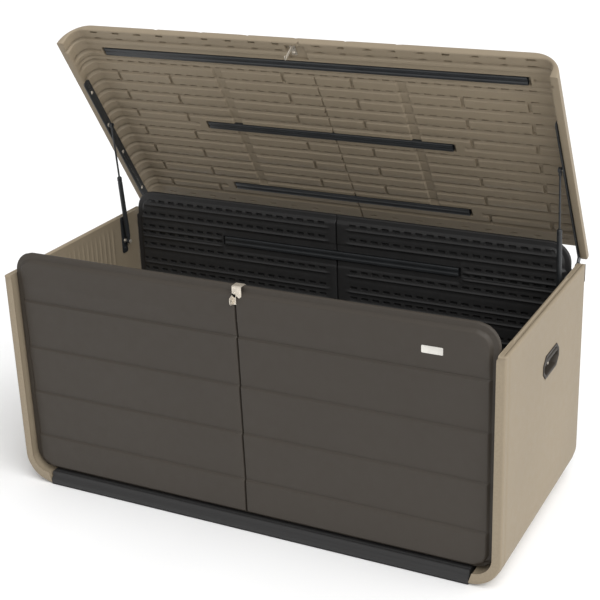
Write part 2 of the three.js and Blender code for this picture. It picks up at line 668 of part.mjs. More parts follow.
// The pivot stud on a plate whose inside face is at base; it runs inwards to tip, and ends in a cap
// if it is retained.
function studProfile(base, tip, retained) {
  const collar = base - COLLAR_THICKNESS;
  const end = retained
    ? [[STUD_RADIUS, tip + 2], [STUD_CAP, tip + 2], [STUD_CAP, tip], [0, tip]]
    : [[STUD_RADIUS, tip], [0, tip]];
  const profile = [[0, base], [STUD_COLLAR, base], [STUD_COLLAR, collar], [STUD_RADIUS, collar], ...end];
  return profile.reverse();
}

function footStud() {
  const base = INNER - STRUT_PLATE.thickness - GAP;
  const tip = STRUT_X - EYE_WIDTH / 2 - 3;
  return turnedX(studProfile(base, tip, true), 0, STRUT_FOOT.y, STRUT_FOOT.z);
}

function headStud() {
  const tip = STRUT_X + EYE_WIDTH / 2 + HEAD_PLAY;
  const profile = studProfile(ARM_INSIDE - GAP, tip, false);
  return turnedX(profile, 0, STRUT_HEAD_CLOSED.y, STRUT_HEAD_CLOSED.z);
}

// The struts' own pieces are made upright on the foot pivot and then leaned into place.
function strutCylinder() {
  const shoulder = CYLINDER_RADIUS - CYLINDER_SHOULDER;
  const neck = ROD_RADIUS + 0.4;
  const gland = CYLINDER_END - GLAND_LENGTH;
  return turnedZ([
    [0, EYE_NECK], [shoulder, EYE_NECK], [CYLINDER_RADIUS, EYE_NECK + 2],
    [CYLINDER_RADIUS, CYLINDER_END - 2], [shoulder, CYLINDER_END], [neck, CYLINDER_END],
    [neck, gland], [CYLINDER_BORE, gland], [CYLINDER_BORE, CYLINDER_FLOOR], [0, CYLINDER_FLOOR],
  ]);
}

function strutRod() {
  const end = strutLength - HEAD_NECK;
  const piston = ROD_START + PISTON_LENGTH;
  return turnedZ([
    [0, ROD_START], [PISTON_RADIUS, ROD_START], [PISTON_RADIUS, piston], [ROD_RADIUS, piston],
    [ROD_RADIUS, end], [0, end],
  ]);
}

// An eye on the strut's end: neckStart and neckEnd say where its neck runs along the strut.
function strutEye(centre, neckStart, neckEnd, neckRadius) {
  const neck = turnedZ([[0, neckStart], [neckRadius, neckStart], [neckRadius, neckEnd], [0, neckEnd]]);
  const eye = rodX(EYE_RADIUS, -EYE_WIDTH / 2, EYE_WIDTH / 2, 0, centre);
  const hole = runningHole(STUD_RADIUS, 0, 0, centre);
  return shaped([eye, neck], [hole]);
}

function placeStruts() {
  for (const [side, name] of [[1, 'right'], [-1, 'left']]) {
    const strut = new THREE.Group();
    strut.position.set(side * STRUT_X, STRUT_FOOT.y, STRUT_FOOT.z);
    strut.rotation.x = strutLean;
    box.add(strut);
    place(`strut_foot_eye_${name}`, strutEye(0, 4, EYE_NECK - GAP, 6), 'darkSteel', strut);
    place(`strut_cylinder_${name}`, strutCylinder(), 'darkSteel', strut);
    place(`strut_rod_${name}`, strutRod(), 'darkSteel', strut);
    place(
      `strut_head_eye_${name}`,
      strutEye(strutLength, strutLength - HEAD_NECK + GAP, strutLength - 4, 5), 'darkSteel', strut);
  }
}

// ---- handles, latch and badge ----

function handle() {
  const back = HALF - HANDLE_DEPTH + GAP;
  const outer = prismX(handleOutline(0), back, HALF + HANDLE_PROUD);
  const hollow = prismX(handleOutline(HANDLE_RIM), back + HANDLE_FLOOR, HALF + REACH);
  const half = HANDLE_LENGTH / 2 - GRIP_INSET;
  const outline = roundedRectangle(
    HANDLE_Y - half, HANDLE_Y + half, HANDLE_Z + GRIP.bottom, HANDLE_Z + GRIP.top, GRIP.radius);
  const grip = prismX(outline, HALF + GRIP.back, HALF + GRIP.front, BAR_FACETS);
  const cup = shaped([outer], [hollow, screwHole(OUTWARD, HANDLE_SCREW)]);
  return shaped([cup, grip]);
}

// A strap bent over the seam at the top of the front panel, with an ear for a padlock.
function boxLatch() {
  const { left, right, bottom, insideBottom } = STRAP;
  const face = FRONT + PANEL_FACE - GAP;
  const outside = face - LATCH_THICKNESS;
  const inside = face + FLANGE_SETBACK + FLANGE_THICKNESS + 2 * GAP;
  const under = PANEL_TOP + GAP;
  const top = under + LATCH_THICKNESS;
  const strap = [
    block(left, right, outside, face, bottom, top),
    block(left, right, outside, inside + LATCH_THICKNESS, under, top),
    block(left, right, inside, inside + LATCH_THICKNESS, insideBottom, top),
    block(left, TOE.right, outside, face, TOE.bottom, TOE.top),
  ];
  const ear = new THREE.Shape();
  ear.moveTo(face - 1, EAR.top);
  ear.lineTo(face - EAR.reach, EAR.shoulder);
  ear.lineTo(face - EAR.reach, EAR.corner);
  ear.lineTo(face - EAR.heel, TOE.bottom);
  ear.lineTo(face - 1, TOE.bottom);
  const eye = rodX(PADLOCK_EYE.radius, -REACH, REACH, face - PADLOCK_EYE.setback, PADLOCK_EYE.z);
  return shaped([...strap, prismX(ear, left, left + LATCH_THICKNESS)], [eye]);
}

// The lid's catch: a plate in the latch pocket with a tongue that drops beside the box latch's ear.
function lidLatch() {
  const ceiling = UNDERSIDE + LATCH_POCKET.depth - GAP;
  const front = LATCH_POCKET.front + CATCH.front;
  const plate = block(
    CATCH.left, CATCH.right, front, LATCH_POCKET.back - CATCH.back, ceiling - LATCH_THICKNESS, ceiling);
  const face = FRONT + PANEL_FACE;
  const tongue = new THREE.Shape();
  tongue.moveTo(face - TONGUE.rear, ceiling);
  tongue.lineTo(front, ceiling);
  tongue.lineTo(front, TONGUE.neck);
  tongue.lineTo(face - TONGUE.reach, TONGUE.shoulder);
  tongue.lineTo(face - TONGUE.reach, TONGUE.bottom);
  tongue.lineTo(face - TONGUE.rear, TONGUE.bottom);
  const eyeY = face - GAP - PADLOCK_EYE.setback;
  const eye = rodX(PADLOCK_EYE.radius, -REACH, REACH, eyeY, PADLOCK_EYE.z);
  return shaped([plate, prismX(tongue, TONGUE.left, TONGUE.right)], [eye]);
}

function badgePlate() {
  const face = FRONT + PANEL_FACE - GAP;
  const outline = roundedRectangle(BADGE.left, BADGE.right, BADGE.bottom, BADGE.top, BADGE.radius);
  return prismY(outline, face - BADGE.thickness, face, SMALL_ARC);
}

// ---- assembly ----

place('floor_panel', floorPanel(), 'black');
placePair('side_panel', sidePanel(), 'tan');
placePair('front_panel', wallPanel(), 'umber');
const backHalf = backPanel();
place('back_panel_left', backHalf, 'black');
place('back_panel_right', mirrored(backHalf), 'black');
place('front_bar', frontBar(), 'darkSteel');
place('back_bar', frontBar().rotateZ(Math.PI), 'darkSteel');

place('lid_shell', lidShell(), 'tan', lidFrame);
for (const bar of LID_BARS) {
  place(bar.name, lidBar(bar), 'darkSteel', lidFrame);
}
placePair('lid_arm', lidArm(), 'darkSteel', lidFrame);
placePair('strut_head_stud', headStud(), 'brightSteel', lidFrame);
ARM_SCREWS.forEach((y, k) => {
  const head = [ARM_INSIDE, y, ARM_MIDDLE];
  placePair(`arm_screw_${k + 1}`, screw(INWARD, head), 'brightSteel', lidFrame);
});

placePair('hinge_bracket', hingeBracket(), 'darkSteel');
placePair('hinge_pin', hingePin(), 'brightSteel');
BRACKET_SCREWS_Z.forEach((z, k) => {
  placePair(`hinge_screw_${k + 1}`, screw(REAR, [BRACKET_SCREW_X, BRACKET_SCREW_Y, z]), 'brightSteel');
});

placePair('strut_bracket', strutBracket(), 'darkSteel');
placePair('strut_foot_stud', footStud(), 'brightSteel');
STRUT_BRACKET_SCREWS_Z.forEach((z, k) => {
  const head = [INNER - STRUT_PLATE.thickness, STRUT_FOOT.y, z];
  placePair(`strut_bracket_screw_${k + 1}`, screw(INWARD, head), 'darkSteel');
});
placeStruts();

placePair('handle', handle(), 'handle');
placePair('handle_screw', screw(OUTWARD, HANDLE_SCREW), 'brightSteel');
place('box_latch', boxLatch(), 'brightSteel');
place('lid_latch', lidLatch(), 'brightSteel', lidFrame);
place('badge_plate', badgePlate(), 'badge');

export default box;
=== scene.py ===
"""The looks of a deck storage box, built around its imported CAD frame.

Blender works in metres; the pieces are designed in millimetres. +X is right along the box, +Y is the
back, +Z is up, and the lid stands open. Lid pieces are designed closed and then turned open.
"""
import json
import math

import bmesh
import bpy
import numpy as np
from mathutils import Matrix, Vector


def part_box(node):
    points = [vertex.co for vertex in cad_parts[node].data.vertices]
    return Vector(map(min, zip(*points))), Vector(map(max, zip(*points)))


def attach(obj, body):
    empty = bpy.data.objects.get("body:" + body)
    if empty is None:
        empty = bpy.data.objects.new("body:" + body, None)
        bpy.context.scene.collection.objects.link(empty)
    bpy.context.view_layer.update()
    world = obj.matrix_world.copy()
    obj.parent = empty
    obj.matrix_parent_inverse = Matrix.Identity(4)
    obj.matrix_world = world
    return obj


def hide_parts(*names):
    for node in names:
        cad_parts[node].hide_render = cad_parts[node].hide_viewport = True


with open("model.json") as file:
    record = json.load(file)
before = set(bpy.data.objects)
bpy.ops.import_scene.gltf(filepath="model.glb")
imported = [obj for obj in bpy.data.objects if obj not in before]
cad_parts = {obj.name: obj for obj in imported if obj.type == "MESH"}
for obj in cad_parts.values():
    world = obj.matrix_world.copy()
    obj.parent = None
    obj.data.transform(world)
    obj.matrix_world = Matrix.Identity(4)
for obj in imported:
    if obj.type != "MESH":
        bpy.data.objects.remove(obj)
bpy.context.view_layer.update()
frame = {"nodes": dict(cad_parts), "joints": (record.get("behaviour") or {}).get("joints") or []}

MM = 0.001
BODY = "box"
LID = "lid"
SIDES = (("right", 1), ("left", -1))


# ---- the frame, in millimetres ----

def box_mm(node):
    low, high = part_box(node)
    return np.array(low) / MM, np.array(high) / MM


def node_points(node):
    """The vertices of a CAD node."""
    mesh = frame["nodes"][node].data
    flat = np.zeros(len(mesh.vertices) * 3)
    mesh.vertices.foreach_get("co", flat)
    return flat.reshape(-1, 3) / MM


JOINTS = {joint["name"]: joint for joint in frame["joints"]}
HINGE = np.array(JOINTS["lid_hinge"]["pos_m"]) / MM
OPEN_ANGLE = math.radians(-JOINTS["lid_hinge"]["range_deg"][0])


def turn_lid(points, angle):
    """Turns points about the lid's hinge line; a positive angle opens the lid."""
    y = points[..., 1] - HINGE[1]
    z = points[..., 2] - HINGE[2]
    turned = np.empty_like(points, dtype=float)
    turned[..., 0] = points[..., 0]
    turned[..., 1] = HINGE[1] + y * math.cos(angle) + z * math.sin(angle)
    turned[..., 2] = HINGE[2] - y * math.sin(angle) + z * math.cos(angle)
    return turned


def opened(points):
    return turn_lid(points, OPEN_ANGLE)


def closed_box(node):
    """The lowest and highest corners of a lid node as it lies closed."""
    points = turn_lid(node_points(node), -OPEN_ANGLE)
    return points.min(0), points.max(0)


# ---- curves and steps ----

def smooth(t):
    t = np.clip(t, 0, 1)
    return t * t * (3 - 2 * t)


def ridge(distance, half, edge):
    """1 within half of a line, falling to 0 over edge; the fall is centred on half."""
    return smooth((half + edge / 2 - np.abs(distance)) / edge)


def quarter(t):
    """A quarter circle's rise from 0 to 1, upright at its start."""
    t = np.clip(t, 0, 1)
    return np.sqrt(1 - (1 - t) ** 2)


def rounding(distance, radius):
    """How far a face falls back at this distance from its rounded edge."""
    return radius * (1 - quarter(distance / radius))


ROUND_SHARES = (0, 0.02, 0.1, 0.25, 0.5, 0.75, 1)
STEP_SHARES = (-0.5, -0.17, 0.17, 0.5)


def round_marks(edge, radius):
    """Grid lines for a rounded edge; a negative radius runs back from the edge."""
    return [edge + share * radius for share in ROUND_SHARES]


def step_marks(centre, width):
    return [centre + share * width for share in STEP_SHARES]


def ridge_marks(centre, half, edge):
    return step_marks(centre - half, edge) + step_marks(centre + half, edge)


def grid_lines(start, stop, step, marks=()):
    """Sorted positions from start to stop that hold the marks and are at most step apart."""
    wanted = sorted(mark for mark in marks if start < mark < stop)
    kept = [start]
    for mark in [*wanted, stop]:
        if mark - kept[-1] < 0.25 and mark != stop:
            continue
        if mark == stop and mark - kept[-1] < 0.25 and len(kept) > 1:
            kept.pop()
        count = max(1, math.ceil((mark - kept[-1]) / step - 1e-6))
        kept.extend(np.linspace(kept[-1], mark, count + 1)[1:])
    return np.array(kept)


def inside_distance(x, z, low, high, radii):
    """How far inside a rounded rectangle points lie. radii: low-low, high-low, high-high, low-high."""
    distance = np.minimum(np.minimum(x - low[0], high[0] - x), np.minimum(z - low[1], high[1] - z))
    signs = ((-1, -1), (1, -1), (1, 1), (-1, 1))
    for radius, (sx, sz) in zip(radii, signs):
        if not radius:
            continue
        centre_x = (high[0] - radius) if sx > 0 else (low[0] + radius)
        centre_z = (high[1] - radius) if sz > 0 else (low[1] + radius)
        dx = (x - centre_x) * sx
        dz = (z - centre_z) * sz
        corner = (dx > 0) & (dz > 0)
        distance = np.where(corner, radius - np.hypot(dx, dz), distance)
    return distance


def round_corner(x, z, centre, radius, sx, sz):
    """Bends a grid's square corner into a quarter disc with concentric rings."""
    u = (x - centre[0]) * sx / radius
    v = (z - centre[1]) * sz / radius
    inside = (u > 0) & (v > 0)
    ring = np.maximum(u, v)
    with np.errstate(divide="ignore", invalid="ignore"):
        turn = np.where(u >= v, math.pi / 4 * v / u, math.pi / 2 - math.pi / 4 * u / v)
    new_x = np.where(inside, centre[0] + sx * radius * ring * np.cos(turn), x)
    new_z = np.where(inside, centre[1] + sz * radius * ring * np.sin(turn), z)
    return new_x, new_z


# ---- meshes ----

def finish_mesh(piece, sharp_angle=38):
    mesh = piece.data
    mesh.shade_smooth()
    mesh.set_sharp_from_angle(angle=math.radians(sharp_angle))
    return piece


def mesh_piece(name, points, faces, sharp_angle=38):
    mesh = bpy.data.meshes.new(name)
    mesh.from_pydata((np.asarray(points) * MM).tolist(), [], [tuple(face) for face in faces])
    mesh.validate()
    piece = bpy.data.objects.new(name, mesh)
    bpy.context.scene.collection.objects.link(piece)
    return finish_mesh(piece, sharp_angle)


def grid_faces(index):
    corners = (index[:-1, :-1], index[1:, :-1], index[1:, 1:], index[:-1, 1:])
    return np.stack(corners, -1).reshape(-1, 4)


def loop_faces(rows, count, closed=False):
    """The faces between rows of closed loops; closed also joins the last row to the first."""
    index = np.arange(rows * count).reshape(rows, count)
    if closed:
        index = np.concatenate([index, index[:1]], 0)
    return grid_faces(np.concatenate([index, index[:, :1]], 1))


def corner_curve(corner, start, end, steps=5):
    """A curve from start to end that leaves and arrives along the sides of the corner."""
    return [start * (1 - t) ** 2 + corner * 2 * t * (1 - t) + end * t ** 2 for t in np.linspace(0, 1, steps)]


def slab(name, top, bottom, sharp_angle=38):
    """A closed piece between two grids of points with the same numbering. Seen from outside, top's first
    index runs right when its second runs up."""
    rows, columns = top.shape[:2]
    upper = np.arange(rows * columns).reshape(rows, columns)
    lower = upper + rows * columns
    faces = [grid_faces(upper), grid_faces(lower)[:, ::-1]]
    loop = [(i, 0) for i in range(rows)] + [(rows - 1, j) for j in range(1, columns)]
    loop += [(i, columns - 1) for i in range(rows - 2, -1, -1)] + [(0, j) for j in range(columns - 2, 0, -1)]
    sides = []
    for (a, b), (c, d) in zip(loop, loop[1:] + loop[:1]):
        sides.append((lower[a, b], lower[c, d], upper[c, d], upper[a, b]))
    faces.append(np.array(sides))
    points = np.concatenate([top.reshape(-1, 3), bottom.reshape(-1, 3)])
    return mesh_piece(name, points, np.concatenate(faces), sharp_angle)


def mirrored(piece, name):
    """The same piece on the other side of the box."""
    twin = piece.copy()
    twin.data = piece.data.copy()
    twin.name = name
    twin.data.name = name
    twin.data.transform(Matrix.Scale(-1, 4, (1, 0, 0)))
    twin.data.flip_normals()
    bpy.context.scene.collection.objects.link(twin)
    return twin


def flipped(piece, name):
    """The piece itself moved to the other side of the box."""
    twin = mirrored(piece, name)
    bpy.data.objects.remove(piece)
    return twin


def joined(name, pieces):
    """One object from several pieces' meshes."""
    builder = bmesh.new()
    for piece in pieces:
        builder.from_mesh(piece.data)
        bpy.data.objects.remove(piece)
    mesh = bpy.data.meshes.new(name)
    builder.to_mesh(mesh)
    builder.free()
    result = bpy.data.objects.new(name, mesh)
    bpy.context.scene.collection.objects.link(result)
    return finish_mesh(result)


def turned(name, profile, steps=40, place=None):
    """A piece turned about Z from (radius, z) points, then moved by the matrix place. It is a ring if the
    profile ends where it starts."""
    angles = np.linspace(0, 2 * math.pi, steps, endpoint=False)
    points = []
    rings = []
    closed = tuple(profile[0]) == tuple(profile[-1])
    for radius, height in profile[:-1] if closed else profile:
        if radius < 1e-6:
            rings.append([len(points)] * steps)
            points.append((0, 0, height))
        else:
            rings.append(list(range(len(points), len(points) + steps)))
            points.extend((radius * math.cos(a), radius * math.sin(a), height) for a in angles)
    if closed:
        rings.append(rings[0])
    faces = []
    for ring, above in zip(rings, rings[1:]):
        for k in range(steps):
            j = (k + 1) % steps
            corners = []
            for vertex in (ring[k], ring[j], above[j], above[k]):
                if vertex not in corners:
                    corners.append(vertex)
            if len(corners) > 2:
                faces.append(corners)
    piece = mesh_piece(name, points, faces, 32)
    if place is not None:
        piece.data.transform(scaled_matrix(place))
    return piece


def scaled_matrix(matrix):
    """A matrix in millimetres as one in metres."""
    result = matrix.copy()
    result.translation = result.translation * MM
    return result


def bevelled(piece, width, segments=3, angle=30):
    """Rounds a piece's edges and bakes the result in."""
    bevel = piece.modifiers.new("bevel", "BEVEL")
    bevel.width = width * MM
    bevel.segments = segments
    bevel.limit_method = "ANGLE"
    bevel.angle_limit = math.radians(angle)
    bevel.harden_normals = False
    depsgraph = bpy.context.evaluated_depsgraph_get()
    mesh = bpy.data.meshes.new_from_object(piece.evaluated_get(depsgraph))
    piece.modifiers.clear()
    piece.data = mesh
    return finish_mesh(piece)


def refined(node, width, segments=3):
    """A copy of a CAD node with its flat facets joined and its edges rounded."""
    source = frame["nodes"][node]
    mesh = source.data.copy()
    builder = bmesh.new()
    builder.from_mesh(mesh)
    bmesh.ops.remove_doubles(builder, verts=builder.verts, dist=1e-6)
    bmesh.ops.dissolve_limit(
        builder, angle_limit=math.radians(1), verts=builder.verts, edges=builder.edges)
    builder.to_mesh(mesh)
    builder.free()
    mesh.materials.clear()
    piece = bpy.data.objects.new(node + "_piece", mesh)
    bpy.context.scene.collection.objects.link(piece)
    return bevelled(piece, width, segments)


def put(piece, body, material, slot, *nodes):
    """Gives a piece its material, the body it rides on and the CAD nodes it stands for."""
    piece.data.materials.clear()
    piece.data.materials.append(material)
    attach(piece, body)
    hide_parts(*nodes)


# ---- materials ----

class Nodes:
    """A short way to write shader nodes."""

    def __init__(self, name):
        self.material = bpy.data.materials.new(name)
        self.material.use_nodes = True
        self.tree = self.material.node_tree
        self.shader = self.tree.nodes["Principled BSDF"]
        self.place = self.add("ShaderNodeTexCoord").outputs["Object"]

    def add(self, kind, inputs=None, **settings):
        node = self.tree.nodes.new(kind)
        for key, value in settings.items():
            setattr(node, key, value)
        for key, value in (inputs or {}).items():
            self.feed(node.inputs[key], value)
        return node

    def feed(self, socket, value):
        if isinstance(value, bpy.types.NodeSocket):
            self.tree.links.new(value, socket)
        else:
            socket.default_value = value

    def set(self, **values):
        for key, value in values.items():
            self.feed(self.shader.inputs[key.replace("_", " ")], value)

    def noise(self, scale, detail=3.0, roughness=0.5, stretch=None):
        place = self.place
        if stretch:
            mapping = self.add("ShaderNodeMapping", {"Vector": place, "Scale": stretch})
            place = mapping.outputs["Vector"]
        inputs = {"Vector": place, "Scale": scale, "Detail": detail, "Roughness": roughness}
        return self.add("ShaderNodeTexNoise", inputs).outputs["Fac"]

    def span(self, value, low, high, to_low=0.0, to_high=1.0):
        inputs = {"Value": value, "From Min": low, "From Max": high, "To Min": to_low, "To Max": to_high}
        return self.add("ShaderNodeMapRange", inputs).outputs["Result"]

    def mix(self, factor, first, second):
        node = self.add("ShaderNodeMix", data_type="RGBA")
        self.feed(node.inputs[0], factor)
        self.feed(node.inputs[6], first)
        self.feed(node.inputs[7], second)
        return node.outputs[2]

    def tones(self, value, color, dark, light, low=0.3, high=0.7):
        """A color darkened and lightened by a pattern."""
        return self.mix(self.span(value, low, high), shade(color, dark), shade(color, light))

    def times(self, first, second):
        return self.math("MULTIPLY", first, second)

    def math(self, operation, first, second):
        node = self.add("ShaderNodeMath", operation=operation)
        self.feed(node.inputs[0], first)
        self.feed(node.inputs[1], second)
        return node.outputs[0]

    def bump(self, height, distance, strength=1.0):
        inputs = {"Height": height, "Distance": distance, "Strength": strength}
        return self.add("ShaderNodeBump", inputs).outputs["Normal"]


def shade(color, factor):
    return tuple(min(1.0, channel * factor) for channel in color[:3]) + (1.0,)


def moulded_plastic(name, color, roughness, grain=0.00022, variation=0.07, wear=0.25):
    """Blow-moulded polyethylene: uneven tone, leathery grain, slightly rubbed edges and painted shade in
    creases.
    """
    n = Nodes(name)
    cloud = n.noise(2.3, 4.0, 0.55)
    mottle = n.noise(38.0, 3.0, 0.6)
    tone = n.tones(cloud, color, 1 - variation, 1 + variation)
    fleck = n.tones(mottle, color, 1 - variation / 2, 1 + variation / 2, 0.35, 0.65)
    body = n.mix(0.45, tone, fleck)
    curvature = n.add("ShaderNodeNewGeometry").outputs["Pointiness"]
    scuff = n.noise(160.0, 2.0, 0.7)
    edge = n.times(n.span(curvature, 0.515, 0.57), n.span(scuff, 0.35, 0.6))
    rubbed = n.mix(n.times(edge, wear), body, shade(color, 1.5))
    # Painted shade: concave creases are darkened towards 55 % of the colour.
    crease = n.times(n.span(curvature, 0.485, 0.43), 0.35)
    n.set(Base_Color=n.mix(crease, rubbed, shade(color, 0.55)))
    n.set(Roughness=n.span(mottle, 0.3, 0.7, roughness - 0.05, roughness + 0.06))
    leather = n.add("ShaderNodeTexVoronoi", {"Vector": n.place, "Scale": 780.0}, feature="SMOOTH_F1")
    pits = n.noise(1500.0, 2.0, 0.6)
    ripple = n.noise(14.0, 2.0, 0.4)
    grainy = n.math("ADD", n.times(leather.outputs["Distance"], 0.7), n.times(pits, 0.5))
    height = n.math("ADD", grainy, n.times(ripple, 2.5))
    n.set(Normal=n.bump(height, grain), Specular_IOR_Level=0.38)
    return n.material


def coated_steel(name, color, roughness=0.42):
    """Powder-coated steel: fine orange peel, with bare metal just showing on rubbed edges."""
    n = Nodes(name)
    peel = n.noise(520.0, 2.0, 0.5)
    cloud = n.noise(9.0, 3.0, 0.5)
    body = n.tones(cloud, color, 0.85, 1.2)
    curvature = n.add("ShaderNodeNewGeometry").outputs["Pointiness"]
    chips = n.times(n.span(curvature, 0.56, 0.64), n.span(n.noise(240.0, 3.0, 0.7), 0.55, 0.62))
    n.set(Base_Color=n.mix(chips, body, (0.3, 0.29, 0.27, 1)))
    n.set(Roughness=n.span(peel, 0.3, 0.7, roughness - 0.06, roughness + 0.08))
    n.set(Normal=n.bump(peel, 0.00008), Specular_IOR_Level=0.5)
    return n.material


def plated_steel(name, color, roughness=0.3):
    """Zinc-plated steel: crystalline blotches and fine scratches."""
    n = Nodes(name)
    spangle = n.add("ShaderNodeTexVoronoi", {"Vector": n.place, "Scale": 210.0}).outputs["Color"]
    grey = n.add("ShaderNodeRGBToBW", {"Color": spangle}).outputs["Val"]
    scratches = n.noise(90.0, 4.0, 0.7, (1.0, 14.0, 1.0))
    film = n.noise(60.0, 3.0, 0.6)
    body = n.tones(grey, color, 0.88, 1.08, 0.2, 0.8)
    n.set(Base_Color=n.mix(n.span(film, 0.55, 0.75), body, shade(color, 0.72)))
    n.set(Roughness=n.span(scratches, 0.35, 0.65, roughness - 0.08, roughness + 0.12))
    n.set(Normal=n.bump(scratches, 0.00005), Metallic=0.6)
    return n.material


def smooth_plastic(name, color, roughness=0.35, shine=0.45):
    """Injection-moulded plastic: smooth, with faint swirls and fingerprints."""
    n = Nodes(name)
    film = n.noise(24.0, 4.0, 0.6)
    fine = n.noise(900.0, 2.0, 0.5)
    n.set(Base_Color=n.tones(film, color, 0.9, 1.1))
    n.set(Roughness=n.span(film, 0.3, 0.7, roughness - 0.05, roughness + 0.08))
    n.set(Normal=n.bump(fine, 0.00005), Specular_IOR_Level=shine)
    return n.material


TAN = moulded_plastic("tan_plastic", (0.268, 0.218, 0.152), 0.6)
UMBER = moulded_plastic("umber_plastic", (0.0435, 0.0357, 0.0278), 0.58, variation=0.06, wear=0.2)
BLACK = moulded_plastic("black_plastic", (0.024, 0.0235, 0.0235), 0.5, variation=0.1, wear=0.15)
GRIP = smooth_plastic("handle_plastic", (0.034, 0.028, 0.022), 0.5, 0.2)
DARK_STEEL = coated_steel("dark_steel", (0.022, 0.024, 0.026))
BRIGHT_STEEL = plated_steel("bright_steel", (0.66, 0.6, 0.51))
BADGE = smooth_plastic("badge_plastic", (0.68, 0.66, 0.61), 0.35)


# ---- front and back panels ----

BAR_RECESS = 11  # depth of the channels for the steel bars
PANEL_RADII = (0, 55, 62, 0)  # only the corners away from the seam are round
RAISED_RADII = (0, 46, 46, 0)
RAISED_INSET = (16, 3, 15)  # from the panel's side, bottom and top
PAST_SEAM = 40  # the raised face has no side bend at the seam
FLANGE_SETBACK = 10.5  # from the raised face back to the thin border
FLANGE_THICKNESS = 13
PANEL_BEND = 11  # from the border up to the raised face
SEAM_BEND = 3.5
SEAM_BORDER = 0.6
SCARF = 3
SCARF_RUN = 12
BOARD_LINES = (155, 300, 445, 590)
LEAN_TOP = 640  # the top board is upright above this
BOARD_LAP = 4.4  # how far the top edge of a board stands out from the foot of the one above
LAP_HEIGHT = 6
GROOVE_ABOVE_LAP = (0.6, 3)  # depth and height
BORDER_RIM = 4.5
SLOT_PITCH = 36.3
SLOT_LENGTH = 22
SLOT_HALF = 4
SLOT_DEPTH = 7
SLOT_EDGE = 1.6
LEDGE_DROP = 13.5  # from a row of slots down to its ledge
LEDGE_HALF = 2.5
LEDGE_EDGE = 5
LEDGE_RISE = 3.2
CREASE_DROP = 25
CREASE = (0.8, 1.5, 4)  # depth, half width and edge
FIRST_SLOT = 42
LAST_SLOT = 700
ROW_FROM = 27
ROW_TO = LAST_SLOT + 12
ROW_FADE = 8
FULL_ROWS = (82, 125, 184, 226, 270, 329, 371, 415, 474, 507, 559.5, 663.5, 707)
SHORT_ROWS = (598, 621.5)
SHORT_FROM = 412
SHORT_FADE = (4, 6)  # its start before SHORT_FROM, and its length
BAR_FIELD = (398, 572, 645)  # half-length, bottom and top of the plain field round the wall bar
BAR_FIELD_EDGE = 6
BAR_FIELD_DROP = 2
WALL_BAR_Z = 606
BAR_RECESS_HALF = (401, 15)
RECESS_EDGE = 1.5
ARM_NOTCH = (7, 650, 8)  # how far the back panels draw in beside the lid arms, from where, and over what height


